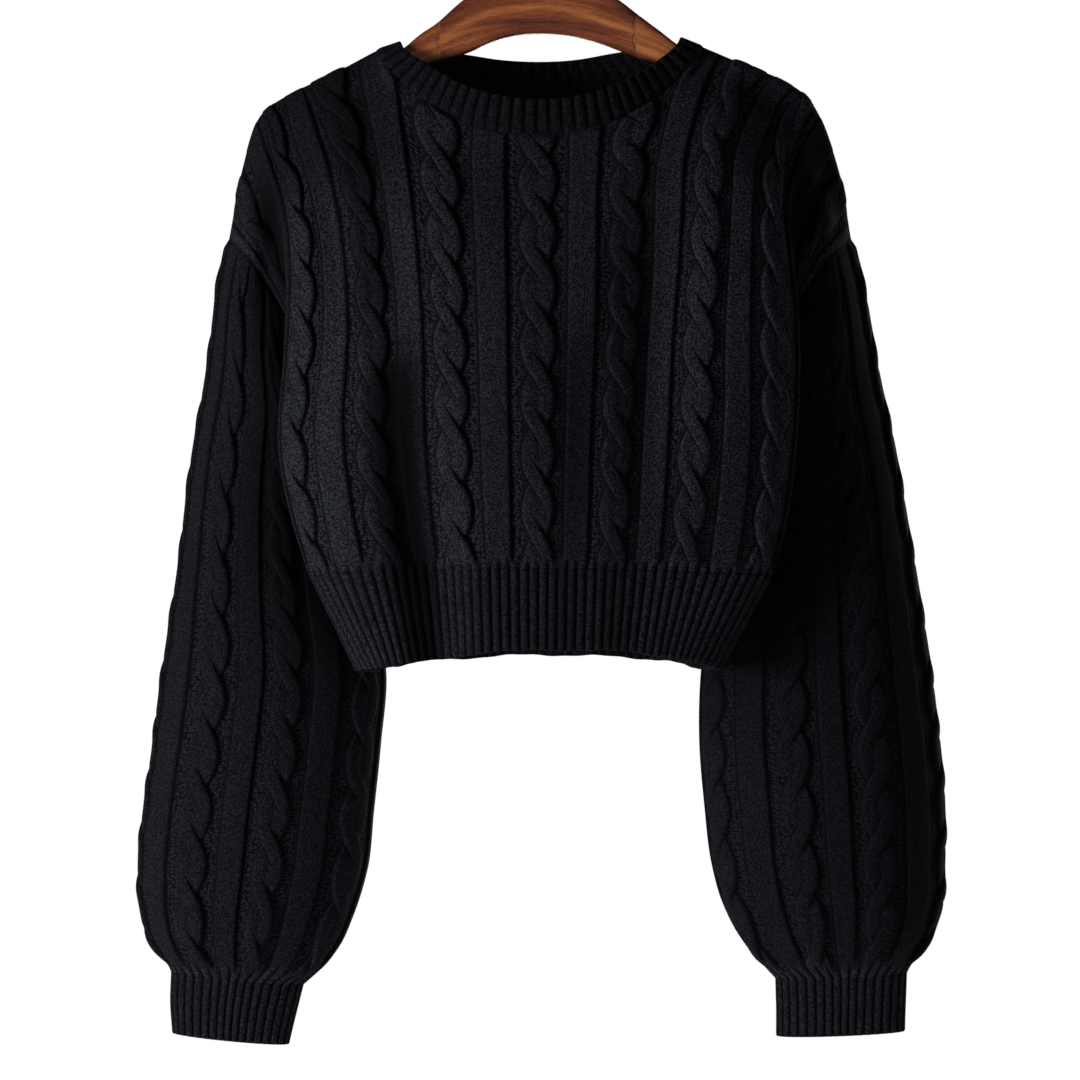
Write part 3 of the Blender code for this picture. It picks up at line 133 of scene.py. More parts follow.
BACK_FLAP = (
    (0.00, -145.0, 145.0, 3.0, -511.1),
    (0.12, -150.0, 150.0, 6.0, -476.5),
    (0.28, -147.0, 147.0, 8.0, -430.2),
    (0.48, -143.0, 143.0, 11.0, -368.0),
    (0.60, -158.0, 158.0, 20.0, -334.0),
    (0.72, -176.0, 176.5, 26.0, -301.0),
    (0.82, -190.0, 190.8, 25.0, -274.6),
    (0.90, -202.6, 202.6, 26.0, -250.2),
    (0.96, -210.9, 211.6, 16.0, -234.3),
    (1.00, -214.6, 218.2, 0.0, -223.8),
)
SIDE_SEAM = (
    (0.00, -151.5, 151.5, -6.0, -511.7),
    (0.12, -162.6, 162.6, -2.0, -478.6),
    (0.28, -159.8, 159.8, 0.0, -432.6),
    (0.48, -152.6, 152.6, 1.0, -380.0),
)
FRONT_ARMHOLE = (
    (0.48, -152.6, 152.6, 1.0, -380.0),
    (0.53, -157.0, 157.0, -7.5, -368.5),
    (0.60, -165.3, 165.3, -12.0, -352.1),
    (0.72, -181.0, 181.0, -14.5, -323.8),
    (0.82, -195.0, 195.0, -18.0, -299.9),
    (0.90, -205.3, 206.0, -24.0, -284.8),
    (0.96, -214.6, 216.0, -16.5, -276.3),
    (1.00, -223.2, 226.1, 0.0, -268.4),
)
BACK_ARMHOLE = (
    (0.48, -152.6, 152.6, 1.0, -380.0),
    (0.53, -157.0, 157.0, 9.5, -368.0),
    (0.60, -167.0, 167.0, 16.0, -350.5),
    (0.72, -183.0, 183.0, 23.0, -322.4),
    (0.82, -197.7, 198.4, 25.0, -298.3),
    (0.90, -209.0, 209.7, 26.0, -281.3),
    (0.96, -217.4, 218.9, 16.5, -273.5),
    (1.00, -223.2, 226.1, 0.0, -268.4),
)
# level | depth of the middle column
FRONT_DEPTH = ((0.0, -76.0), (0.12, -79.0), (0.28, -80.0), (0.48, -78.0), (0.60, -75.0),
               (0.72, -70.0), (0.82, -64.0), (0.90, -58.0), (0.96, -53.0), (1.0, -50.0))
BACK_DEPTH = ((0.0, 56.0), (0.28, 60.0), (0.50, 58.0), (0.72, 52.0), (0.90, 40.0), (1.0, 33.0))
# level | share of the ridge's x for cable 1 | cable 2 | cable 3
FAN = ((0.00, 0.333, 0.640, 0.962), (0.28, 0.328, 0.640, 0.945), (0.48, 0.345, 0.648, 0.930),
       (0.65, 0.366, 0.687, 0.940), (0.78, 0.378, 0.720, 0.962), (0.90, 0.374, 0.742, 0.975),
       (1.00, 0.349, 0.756, 0.958))
FAN_RIGHT = (1.0, 0.93, 0.955, 0.975)

# ------------------------------------------------ top edges: wale | x | y | z
SHOULDER_LEFT = (
    (1.50, -115.9, 0.0, -131.6), (2.00, -153.4, 0.0, -151.0), (2.60, -180.0, 0.0, -164.0),
    (3.00, -194.4, 0.0, -173.4), (3.35, -203.0, 0.0, -184.0), (3.90, -214.6, 0.0, -223.8),
    (4.50, -223.2, 0.0, -268.4),
)
SHOULDER_RIGHT = (
    (1.50, 118.8, 0.0, -129.4), (2.00, 154.1, 0.0, -143.8), (2.60, 181.4, 0.0, -156.1),
    (3.00, 194.4, 0.0, -166.2), (3.35, 203.8, 0.0, -181.0), (3.90, 218.2, 0.0, -223.8),
    (4.50, 226.1, 0.0, -268.4),
)
NECK_FRONT_LEFT = (
    (0.00, 0.0, -50.0, -196.8), (0.50, -33.9, -48.0, -193.7), (1.00, -70.9, -37.0, -177.4),
    (1.28, -97.1, -22.0, -157.4), (1.44, -112.2, -9.4, -137.9), (1.50, -115.9, 0.0, -131.6),
)
NECK_FRONT_RIGHT = (
    (0.00, 0.0, -50.0, -196.8), (0.50, 33.9, -48.0, -193.4), (1.00, 70.6, -37.0, -177.8),
    (1.28, 97.4, -22.0, -157.4), (1.44, 114.8, -9.4, -135.9), (1.50, 118.8, 0.0, -129.4),
)
NECK_BACK_LEFT = (
    (0.00, 0.0, 33.0, -156.7), (0.50, -33.5, 31.0, -154.8), (1.00, -71.3, 26.0, -146.7),
    (1.28, -96.4, 18.0, -140.0), (1.44, -113.2, 9.4, -136.6), (1.50, -115.9, 0.0, -131.6),
)
NECK_BACK_RIGHT = (
    (0.00, 0.0, 33.0, -156.7), (0.50, 33.5, 31.0, -154.4), (1.00, 71.3, 26.0, -146.0),
    (1.28, 97.1, 18.0, -138.5), (1.44, 115.8, 9.4, -134.5), (1.50, 118.8, 0.0, -129.4),
)
COLLAR_FRONT_LEFT = (
    (0.00, 0.0, -46.0, -173.0), (0.50, -29.7, -44.0, -169.2), (1.00, -61.0, -34.0, -157.2),
    (1.28, -82.9, -20.5, -142.3), (1.44, -96.6, -9.4, -131.6), (1.50, -98.6, 0.0, -126.6),
)
COLLAR_FRONT_RIGHT = (
    (0.00, 0.0, -46.0, -173.0), (0.50, 31.1, -44.0, -169.2), (1.00, 61.8, -34.0, -157.9),
    (1.28, 85.0, -20.5, -142.6), (1.44, 100.0, -9.4, -128.8), (1.50, 102.2, 0.0, -123.7),
)
COLLAR_BACK_LEFT = (
    (0.00, 0.0, 31.0, -135.8), (0.50, -27.7, 29.0, -134.6), (1.00, -56.7, 24.0, -130.9),
    (1.28, -81.8, 16.5, -129.0), (1.44, -96.6, 9.4, -130.8), (1.50, -98.6, 0.0, -126.6),
)
COLLAR_BACK_RIGHT = (
    (0.00, 0.0, 31.0, -135.8), (0.50, 27.7, 29.0, -134.6), (1.00, 58.2, 24.0, -130.0),
    (1.28, 84.7, 16.5, -127.0), (1.44, 100.0, 9.4, -128.1), (1.50, 102.2, 0.0, -123.7),
)
HEM_FRONT_LEFT = (
    (0.00, 0.0, -72.0, -561.2), (1.00, -50.3, -69.0, -565.5), (2.00, -89.9, -58.0, -571.5),
    (3.00, -120.4, -40.0, -575.7), (3.35, -127.3, -30.0, -577.5), (3.90, -124.6, -18.0, -578.7),
    (4.50, -118.6, -4.0, -579.3),
)
HEM_FRONT_RIGHT = (
    (0.00, 0.0, -72.0, -561.2), (1.00, 47.6, -69.0, -562.0), (2.00, 87.1, -58.0, -565.9),
    (3.00, 120.4, -40.0, -574.3), (3.35, 128.7, -30.0, -576.1), (3.90, 125.6, -18.0, -577.3),
    (4.50, 119.3, -4.0, -577.8),
)
HEM_BACK_LEFT = (
    (0.00, 0.0, 54.0, -569.1), (1.00, -41.2, 52.0, -570.5), (2.00, -80.6, 42.0, -573.0),
    (3.00, -104.8, 26.0, -576.8), (3.35, -111.7, 18.0, -578.0), (3.90, -116.3, 8.0, -579.0),
    (4.50, -118.6, -4.0, -579.3),
)
HEM_BACK_RIGHT = (
    (0.00, 0.0, 54.0, -569.1), (1.00, 41.2, 52.0, -569.7), (2.00, 80.6, 42.0, -571.6),
    (3.00, 106.3, 26.0, -575.4), (3.35, 112.4, 18.0, -576.5), (3.90, 117.0, 8.0, -577.6),
    (4.50, 119.3, -4.0, -577.8),
)
# wale | length of the cloth from hem seam to top edge
FRONT_LENGTH = ((0.0, 314.0), (0.5, 317.0), (1.0, 334.0), (1.28, 352.0), (1.5, 372.0),
                (2.0, 360.0), (3.0, 342.0), (3.9, 336.0), (4.5, 330.0))
BACK_LENGTH = ((0.0, 344.0), (0.5, 346.0), (1.0, 354.0), (1.28, 361.0), (1.5, 372.0),
               (2.0, 360.0), (3.0, 342.0), (3.9, 336.0), (4.5, 330.0))
# face | wale | half width | push along y | level from | level to
FOLDS = (
    ("front", -1.45, 0.75, 12.0, -0.40, 0.42),
    ("front", -2.55, 0.60, -4.0, -0.30, 0.40),
    ("front", -2.45, 0.40, 5.0, 0.42, 0.90),
    ("front", 0.62, 0.45, 4.0, 0.00, 0.60),
    ("front", 2.30, 0.50, -3.0, 0.05, 0.70),
    ("front", -1.80, 0.65, 5.0, 0.28, 0.96),
    ("front", 1.35, 0.85, 9.5, 0.04, 0.88),
    ("front", 2.80, 0.50, -3.5, 0.10, 0.90),
    ("front", -0.30, 0.55, -2.5, 0.10, 0.80),
    ("front", -3.60, 0.50, 6.0, 0.08, 0.92),
    ("front", 3.60, 0.50, 6.0, 0.05, 0.98),
    ("back", -1.40, 0.75, -10.0, -0.40, 0.85),
    ("back", -2.35, 0.55, 6.0, -0.30, 0.80),
    ("back", 1.30, 0.75, -9.0, -0.40, 0.80),
    ("back", 2.30, 0.55, 6.0, -0.30, 0.85),
    ("back", 0.00, 0.60, 5.0, -0.30, 0.90),
)
# painted shade in folds, under the arms and over the shoulders: face | wale | half width | depth of
# the shade | level from | level to
SHADES = (
    ("front", -1.72, 0.55, 0.92, -1.00, 0.52),
    ("front", -1.95, 0.50, 0.50, 0.40, 1.30),
    ("front", -0.10, 1.20, 0.24, -1.00, 1.30),
    ("front", 1.08, 0.50, 0.42, -0.60, 0.95),
    ("front", 0.42, 0.35, 0.30, -0.60, 0.60),
    ("front", -3.75, 0.55, 0.94, -0.20, 1.00),
    ("front", 3.66, 0.50, 0.96, -0.60, 1.06),
    ("front", -4.35, 0.60, 0.60, -0.20, 0.92),
    ("front", 4.40, 0.55, 0.30, -0.20, 0.90),
    ("front", -2.90, 1.90, 0.45, 0.70, 1.60),
    ("front", 2.90, 1.90, 0.10, 0.70, 1.60),
    ("back", -1.40, 0.75, 0.55, -0.60, 0.95),
    ("back", 1.30, 0.75, 0.50, -0.60, 0.90),
    ("back", -3.90, 0.70, 0.75, -0.10, 0.98),
    ("back", 3.90, 0.70, 0.75, -0.10, 0.98),
)
SHADE_FADE = 0.16         # level over which a painted shade fades out

# ----------------------------------------------------------------- sleeve tables
# run | outer x | outer z | inner x | inner z | front y | back y
SLEEVE_LEFT = (
    (0.000, -223.4, -268.2, -152.8, -379.9, -20.0, 24.0),
    (0.070, -231.0, -310.6, -156.0, -399.0, -13.0, 50.0),
    (0.150, -238.2, -356.9, -147.0, -429.8, -3.0, 70.0),
    (0.256, -249.9, -418.5, -142.2, -469.7, 3.0, 88.0),
    (0.408, -261.3, -506.4, -130.7, -528.4, 2.0, 92.0),
    (0.535, -272.2, -579.8, -113.7, -578.3, 0.0, 92.0),
    (0.650, -279.3, -634.7, -117.3, -634.7, -4.0, 92.0),
    (0.750, -285.7, -682.2, -122.3, -683.7, -6.0, 90.0),
    (0.830, -289.1, -718.6, -126.6, -724.4, -7.0, 86.0),
    (0.900, -287.2, -751.1, -137.4, -758.5, -6.0, 78.0),
    (0.950, -280.3, -774.2, -148.9, -782.2, -2.0, 68.0),
    (0.985, -269.0, -792.0, -164.0, -800.1, 6.0, 54.0),
    (1.000, -266.0, -798.5, -172.0, -807.2, 12.0, 46.0),
)
SLEEVE_RIGHT = (
    (0.000, 226.3, -268.2, 152.8, -379.9, -20.0, 24.0),
    (0.070, 235.4, -310.6, 156.0, -399.0, -13.0, 50.0),
    (0.150, 244.7, -356.9, 147.0, -429.8, -3.0, 70.0),
    (0.256, 258.7, -418.5, 142.2, -469.7, 3.0, 88.0),
    (0.408, 273.8, -506.4, 130.7, -528.4, 2.0, 92.0),
    (0.535, 284.7, -578.3, 121.8, -578.3, 0.0, 92.0),
    (0.650, 291.1, -631.0, 120.2, -631.0, -4.0, 92.0),
    (0.750, 294.5, -678.5, 123.8, -678.5, -6.0, 90.0),
    (0.830, 294.2, -718.6, 128.8, -720.1, -7.0, 86.0),
    (0.900, 291.6, -751.1, 138.1, -751.1, -6.0, 78.0),
    (0.950, 282.5, -772.7, 151.1, -774.9, -2.0, 68.0),
    (0.985, 271.2, -792.0, 166.9, -795.0, 6.0, 54.0),
    (1.000, 267.4, -799.2, 174.2, -802.8, 12.0, 46.0),
)
CUFF_LEFT = (
    (0.000, -266.0, -798.5, -172.0, -807.2, 12.0, 46.0),
    (0.500, -266.6, -821.6, -177.7, -829.7, 13.0, 43.0),
    (1.000, -265.0, -843.4, -182.8, -851.4, 13.0, 41.0),
)
CUFF_RIGHT = (
    (0.000, 267.4, -799.2, 174.2, -802.8, 12.0, 46.0),
    (0.500, 266.6, -820.2, 174.8, -823.8, 13.0, 43.0),
    (1.000, 265.8, -841.9, 174.7, -845.5, 13.0, 41.0),
)
SLEEVE_RUN = 475.0        # length from armhole to cuff
SLEEVE_PHASE = {"left": 0.5, "right": 0.36}   # first cable's place, in repeats
ARMHOLE_CROWD = 0.65      # cloth crowds toward the shoulder end of the armhole
ARMHOLE_BLEND = 0.17      # run over which the sleeve is drawn to the armhole

# ------------------------------------------------------------------ hanger table
# visible wood: x | top z
BOARD_TOP = ((-85.0, -120.8), (-71.3, -111.4), (-63.4, -104.2), (-54.7, -96.6),
             (-41.8, -89.4), (-23.8, -84.4), (0.0, -82.0), (24.5, -84.4), (44.6, -89.4),
             (58.3, -96.0), (71.3, -105.9), (87.8, -118.2))
# x | bottom z
BOARD_BOTTOM = ((-196.0, -198.0), (-182.2, -191.5), (-149.8, -175.5), (-113.8, -156.6),
                (-83.5, -142.0), (-66.2, -138.2), (-50.4, -133.4), (-38.2, -128.2),
                (-25.9, -123.7), (-13.0, -121.0), (3.6, -120.1), (27.4, -122.4), (44.6, -127.0),
                (61.2, -133.0), (73.4, -137.6), (87.8, -141.4), (114.5, -154.8),
                (149.8, -169.5), (183.6, -186.0), (197.0, -193.0))

# ------------------------------------------------------------------------ choices
class Face(Enum):
    """The two panels of the sweater's body."""

    FRONT = "front"
    BACK = "back"


class Side(Enum):
    """The wearer's two sides, by how they stand here."""

    LEFT = 0
    RIGHT = 1


# -------------------------------------------------------------------- mathematics
def knot_slopes(step: Array, values: Array) -> Array:
    """Gives a smooth curve's slope at each of its knots.

    Args:
        step: distances between the knots.
        values: one value, or one block of values, for each knot.

    Returns:
        The slopes, in the shape of the values.
    """
    wide = (-1,) + (1,) * (values.ndim - 1)
    slope = np.diff(values, axis=0) / step.reshape(wide)
    share = (step[1:] / (step[1:] + step[:-1])).reshape(wide)
    got = np.empty_like(values)
    got[1:-1] = slope[:-1] * share + slope[1:] * (1.0 - share)
    got[0], got[-1] = slope[0], slope[-1]
    return got


def knot_to_knot(t: Array, step: Array, here: tuple[Array, Array],
                 there: tuple[Array, Array]) -> Array:
    """Runs a smooth curve from one knot to the next.

    Args:
        t: place between the two knots, from 0 to 1.
        step: distance between them.
        here: value and slope at the first knot.
        there: value and slope at the second knot.

    Returns:
        The values at the places.
    """
    return ((2 * t**3 - 3 * t**2 + 1) * here[0] + (t**3 - 2 * t**2 + t) * step * here[1]
            + (3 * t**2 - 2 * t**3) * there[0] + (t**3 - t**2) * step * there[1])


def smooth(knots: Array, values: Array, at: Array) -> Array:
    """Runs a smooth curve through some knots.

    Args:
        knots: rising parameters of the knots.
        values: one value, or one row of values, for each knot.
        at: parameters to read the curve at.

    Returns:
        The values there, one row for each parameter.
    """
    x, v = np.asarray(knots, float), np.asarray(values, float)
    at = np.clip(np.asarray(at, float), x[0], x[-1])
    step = np.diff(x)
    slope = knot_slopes(step, v)
    i = np.clip(np.searchsorted(x, at, side="right") - 1, 0, len(x) - 2)
    h, t = step[i], (at - x[i]) / step[i]
    if v.ndim > 1:
        t, h = t[..., None], h[..., None]
    return knot_to_knot(t, h, (v[i], slope[i]), (v[i + 1], slope[i + 1]))


def table(rows: Rows, at: Array) -> Array:
    """Reads a table whose first column is the parameter."""
    rows = np.asarray(rows, float)
    return smooth(rows[:, 0], rows[:, 1:], at)


def unit(vectors: Array) -> Array:
    """Brings vectors to length one."""
    return vectors / np.maximum(np.linalg.norm(vectors, axis=-1, keepdims=True), 1e-9)


def ramp(value: Array) -> Array:
    """Eases from 0 to 1 as the value goes from 0 to 1."""
    value = np.clip(value, 0.0, 1.0)
    return value * value * (3.0 - 2.0 * value)


def both_sides(pair: tuple[Rows, Rows], wale: Array) -> Array:
    """Reads a left and a right table as one curve across the middle."""
    left = np.asarray(pair[0], float)[::-1].copy()
    left[:, 0] *= -1.0
    rows = np.vstack([left, np.asarray(pair[1], float)[1:]])
    return smooth(rows[:, 0], rows[:, 1:], wale)


def outward(surface: Surface, across: Array, along: Array, flip: float) -> Array:
    """Finds a surface's outward direction.

    Args:
        surface: the cloth's plain surface.
        across: coordinates round or across the cloth.
        along: coordinates along it, from 0 to 1.
        flip: 1 or -1, the side that is the outside.

    Returns:
        Unit vectors, one for each place.
    """
    low, high = np.maximum(along - NUDGE, 0.0), np.minimum(along + NUDGE, 1.0)
    up = surface(across, high) - surface(across, low)
    over = surface(across + NUDGE, along) - surface(across - NUDGE, along)
    return flip * unit(np.cross(over, up))


def uneven(across: Array, along: Array, seed: float) -> Array:
    """Gives a slow, irregular wander between about -1 and 1, the same at every run."""
    return (np.sin(1.7 * across + 2.3 * along + seed) * 0.5
            + np.sin(-2.9 * across + 4.1 * along + 1.9 * seed) * 0.3
            + np.sin(6.3 * across + 1.1 * along + 0.7 * seed) * 0.2)


# ------------------------------------------------------------------- cloth shapes
@dataclass(frozen=True)
class PanelCloth:
    """The plain outer surface of the front or the back, by wale and level.

    The guide tables come first, then the hem seam's heights at the middle and at the ridge, and
    the power by which the panel bends away from the middle.
    """

    face: Face
    ridge: Rows
    flap: Rows
    armhole: Rows
    depth: Rows
    length: Rows
    neck: tuple[Rows, Rows]
    hem_z: tuple[float, float]
    bend: float
    settle_from: float = 0.72     # level where the columns begin to lean to the top edge
    pull_from: float = 0.74       # level where the cloth is drawn to its seams
    fold_fade: float = 0.6        # wales over which the folds end at the side edge
    corner_long: float = 16.0     # length of the evened corner below the neck point
    corner_reach: int = 45        # how far the corner is evened out, as miss says
    bend_over: float = 1.2        # angle that the cloth turns over the board
    heading_long: float = 30.0    # length that the shoulder's heading is taken over
    over_long: tuple[float, float] = (9.0, 18.0)   # full turn, and its fading out
    over_wales: tuple[float, float] = (0.4, 0.35)  # its fading in at neck point and armhole

    @property
    def outer_sign(self) -> float:
        """Way along y in which the panel bulges."""
        return -1.0 if self.face is Face.FRONT else 1.0

    def guide(self, rows: Rows, side: Side, level: Array) -> Array:
        """Reads a guide line on one side as points."""
        got = table(rows, level)
        return np.stack([got[..., side.value], got[..., 2], got[..., 3]], axis=-1)

    def top(self, wale: Array) -> Array:
        """Follows the neck seam between the neck points and the shoulder seams outside."""
        wale = np.asarray(wale, float)
        neck = both_sides(self.neck, np.clip(wale, -K_NECK, K_NECK))
        left = table(SHOULDER_LEFT, np.clip(-wale, K_NECK, K_EDGE))
        right = table(SHOULDER_RIGHT, np.clip(wale, K_NECK, K_EDGE))
        outer = np.where((wale < 0)[..., None], left, right)
        return np.where((np.abs(wale) <= K_NECK)[..., None], neck, outer)

    def edge(self, side: Side, level: Array) -> Array:
        """Follows the side seam up to the underarm and the armhole above it."""
        low = self.guide(SIDE_SEAM, side, np.minimum(level, W_UNDERARM))
        high = self.guide(self.armhole, side, np.maximum(level, W_UNDERARM))
        return np.where((level <= W_UNDERARM)[..., None], low, high)

    def folds(self, wale: Array, level: Array) -> Array:
        """Adds up the soft folds, as a push along y."""
        push = np.zeros(np.broadcast(wale, level).shape)
        for where, centre, width, depth, low, high in FOLDS:
            if where != self.face.value:
                continue
            across = ramp(1.0 - np.abs(wale - centre) / width)
            along = np.clip((level - low) / (high - low), 0.0, 1.0)
            push = push + depth * across * np.sin(np.pi * along) ** 1.2
        return push

    def shade(self, wale: Array, level: Array) -> Array:
        """Gives a place's painted shade from the shade table, from 0 to 1."""
        open_ = np.ones(np.broadcast(wale, level).shape)
        for where, centre, width, deep, low, high in SHADES:
            if where == self.face.value:
                along = ramp((level - low) / SHADE_FADE) * ramp((high - level) / SHADE_FADE)
                across = ramp(1.25 * (1.0 - np.abs(wale - centre) / width))
                open_ = open_ * (1.0 - deep * across * along)
        return 1.0 - open_

    def column(self, side: Side, rank: int, level: Array, ridge: Array) -> Array:
        """Places one inner cable column between the middle and the ridge."""
        sign = 1.0 if side is Side.RIGHT else -1.0
        share = (table(FAN, level)[..., rank - 1] if rank else np.zeros_like(level))
        share = share * (FAN_RIGHT[rank] if side is Side.RIGHT else 1.0)
        top = self.top(np.array(sign * rank))
        settle = np.clip((level - self.settle_from) / (1.0 - self.settle_from), 0.0, 1.0) ** 2.5
        middle = table(self.depth, level)[..., 0]
        bend = 1.0 - (rank / K_RIDGE) ** self.bend
        y = ridge[..., 1] + (middle - ridge[..., 1]) * bend
        y = y * (1.0 - settle) + top[1] * settle
        hem = self.hem_z[0] + (self.hem_z[1] - self.hem_z[0]) * (rank / K_RIDGE) ** 2
        return np.stack([share * ridge[..., 0], y, hem + (top[2] - hem) * level], axis=-1)

    def sheet(self, wale: Array, level: Array) -> Array:
        """Runs the cloth through its columns, before its top edge is pulled to the seams."""
        columns: list[tuple[float, Array]] = []
        for side, sign in ((Side.LEFT, -1.0), (Side.RIGHT, 1.0)):
            ridge = self.guide(self.ridge, side, level)
            columns += [(sign * rank, self.column(side, rank, level, ridge))
                        for rank in range(0 if side is Side.RIGHT else 1, len(FAN_RIGHT))]
            columns += [(sign * K_RIDGE, ridge),
                        (sign * K_FLAP, self.guide(self.flap, side, level)),
                        (sign * K_EDGE, self.edge(side, level))]
        columns.sort(key=lambda item: item[0])
        knots = np.array([item[0] for item in columns])
        points = np.stack([item[1] for item in columns])
        step = np.diff(knots)
        slope = knot_slopes(step, points)
        i = np.clip(np.searchsorted(knots, wale, side="right") - 1, 0, len(knots) - 2)
        here, there = (i,) + tuple(np.indices(i.shape)), (i + 1,) + tuple(np.indices(i.shape))
        h, t = step[i][..., None], ((wale - knots[i]) / step[i])[..., None]
        got = knot_to_knot(t, h, (points[here], slope[here]), (points[there], slope[there]))
        got[..., 1] += self.folds(wale, level) * ramp((K_EDGE - np.abs(wale)) / self.fold_fade)
        return got

    def surface(self, wale: Array, level: Array) -> Array:
        """Gives the cloth's points, drawn to its seams and turned over the board."""
        wale, level = np.broadcast_arrays(np.asarray(wale, float), np.asarray(level, float))
        away = (1.0 - level) * self.long(wale)
        corner = (ramp(1.6 - 2.0 * np.abs(np.abs(wale) - K_NECK))
                  * ramp(away / self.corner_long))[..., None]
        miss = self.miss(wale, 0) * (1.0 - corner) + self.miss(wale, self.corner_reach) * corner
        pull = np.clip((level - self.pull_from) / (1.0 - self.pull_from), 0.0, 1.0) ** 2
        got = self.sheet(wale, level) + miss * pull[..., None]
        over = (ramp((np.abs(wale) - K_NECK) / self.over_wales[0])
                * ramp((K_EDGE - 0.02 - np.abs(wale)) / self.over_wales[1])
                * (1.0 - ramp((away - self.over_long[0]) / self.over_long[1])))
        return got + over[..., None] * (self.saddle(wale, away) - got)

    def saddle(self, wale: Array, away: Array) -> Array:
        """Gives the cloth's points where it bends over the board and hangs from it.

        Args:
            wale: places across the cloth.
            away: millimetres of cloth below the top edge.

        Returns:
            The points.
        """
        top = self.top(wale)
        below = self.sheet(wale, 1.0 - self.heading_long / self.long(wale))
        heading = unit((below - top)[..., [0, 2]])
        run = unit((self.top(wale + 0.01) - self.top(wale - 0.01))[..., [0, 2]])
        square = np.clip(np.abs(heading[..., 0] * run[..., 1] - heading[..., 1] * run[..., 0]),
                         0.35, 1.0)
        turn = np.minimum(away / SADDLE, self.bend_over)
        past = np.maximum(away - self.bend_over * SADDLE, 0.0)
        out = SADDLE * np.sin(turn) + past * math.cos(self.bend_over)
        drop = (SADDLE * (1.0 - np.cos(turn)) + past * math.sin(self.bend_over)) / square
        return np.stack([top[..., 0] + heading[..., 0] * drop, top[..., 1] + self.outer_sign * out,
                         top[..., 2] + heading[..., 1] * drop], axis=-1)

    def miss(self, wale: Array, reach: int) -> Array:
        """Measures what the cloth's top edge lacks to its seam.

        Args:
            wale: places across the cloth.
            reach: how many two-hundredths of a repeat the lack is evened out over.

        Returns:
            The lack as vectors.
        """
        at = np.linspace(-K_EDGE, K_EDGE, 1801)
        lack = self.top(at) - self.sheet(at, np.ones_like(at))
        weight = np.ones(2 * reach + 1) / (2 * reach + 1)
        even = [np.convolve(np.pad(part, reach, mode="edge"), weight, mode="valid")
                for part in lack.T]
        return np.stack([np.interp(wale, at, part) for part in even], axis=-1)

    def long(self, wale: Array) -> Array:
        """Gives the cloth's length from the hem seam to the top edge, along a wale."""
        return table(self.length, np.abs(np.asarray(wale, float)))[..., 0]


PANEL = {
    Face.FRONT: PanelCloth(Face.FRONT, FRONT_RIDGE, FRONT_FLAP, FRONT_ARMHOLE, FRONT_DEPTH,
                           FRONT_LENGTH, (NECK_FRONT_LEFT, NECK_FRONT_RIGHT),
                           (-503.9, -509.2), 2.2),
    Face.BACK: PanelCloth(Face.BACK, BACK_RIDGE, BACK_FLAP, BACK_ARMHOLE, BACK_DEPTH,
                          BACK_LENGTH, (NECK_BACK_LEFT, NECK_BACK_RIGHT),
                          (-505.8, -509.0), 2.0),
}


def ring(rows: Rows, round_: Array, run: Array, crowd: float = SLEEVE_EVEN) -> Array:
    """Gives points on a sleeve's or cuff's section: inner edge, front, outer edge, back."""
    got = table(rows, run)
    zero = np.zeros_like(got[..., 0])
    outer = np.stack([got[..., 0], zero, got[..., 1]], axis=-1)
    inner = np.stack([got[..., 2], zero, got[..., 3]], axis=-1)
    centre, half = (outer + inner) / 2.0, (inner - outer) / 2.0
    wide, deep = np.linalg.norm(half, axis=-1), (got[..., 5] - got[..., 4]) / 2.0
    centre[..., 1] = (got[..., 5] + got[..., 4]) / 2.0
    even = crowd * (wide - deep) / (wide + deep)
    angle = 2.0 * np.pi * round_ + even * np.sin(4.0 * np.pi * round_)
    point = centre + half * np.cos(angle)[..., None]
    point[..., 1] -= deep * np.sin(angle)
    return point


def armhole(side: Side, round_: Array) -> Array:
    """Gives the armhole seam's point that meets a place round the sleeve."""
    round_ = np.asarray(round_, float) % 1.0
    level = 1.0 - (1.0 - W_UNDERARM) * (np.abs(0.5 - round_) / 0.5) ** (1.0 / ARMHOLE_CROWD)
    level = np.maximum(level, W_UNDERARM + 1e-9)
    front, back = (PANEL[face].edge(side, level) for face in (Face.FRONT, Face.BACK))
    return np.where((round_ <= 0.5)[..., None], front, back)


def sleeve_cloth(side: Side) -> Surface:
    """Gives the plain outer surface of a sleeve, by its place round and its run down."""
    rows = SLEEVE_RIGHT if side is Side.RIGHT else SLEEVE_LEFT

    def surface(round_: Array, run: Array) -> Array:
        """Gives points of the sleeve."""
        round_, run = np.broadcast_arrays(np.asarray(round_, float), np.asarray(run, float))
        miss = armhole(side, round_) - ring(rows, round_, np.zeros_like(run))
        pull = np.clip(1.0 - run / ARMHOLE_BLEND, 0.0, 1.0) ** 2
        return ring(rows, round_, run) + miss * pull[..., None]

    return surface


def cuff_cloth(side: Side) -> Surface:
    """Gives the plain outer surface of a cuff."""
    rows = CUFF_RIGHT if side is Side.RIGHT else CUFF_LEFT
    return lambda round_, run: ring(rows, np.asarray(round_, float), np.asarray(run, float),
                                    CUFF_EVEN)


def cuff_round(side: Side, round_: Array) -> Array:
    """Gives the place round the cuff that meets a place round the sleeve's end."""
    _, x, z, near_x, near_z, front, back = (CUFF_RIGHT if side is Side.RIGHT else CUFF_LEFT)[0]
    wide, deep = 0.5 * math.hypot(x - near_x, z - near_z), 0.5 * (back - front)
    flat = (wide - deep) / (wide + deep)
    angle = 2.0 * np.pi * round_ + SLEEVE_EVEN * flat * np.sin(4.0 * np.pi * round_)
    got = round_
    for _ in range(6):
        got = (angle - CUFF_EVEN * flat * np.sin(4.0 * np.pi * got)) / (2.0 * np.pi)
    return got


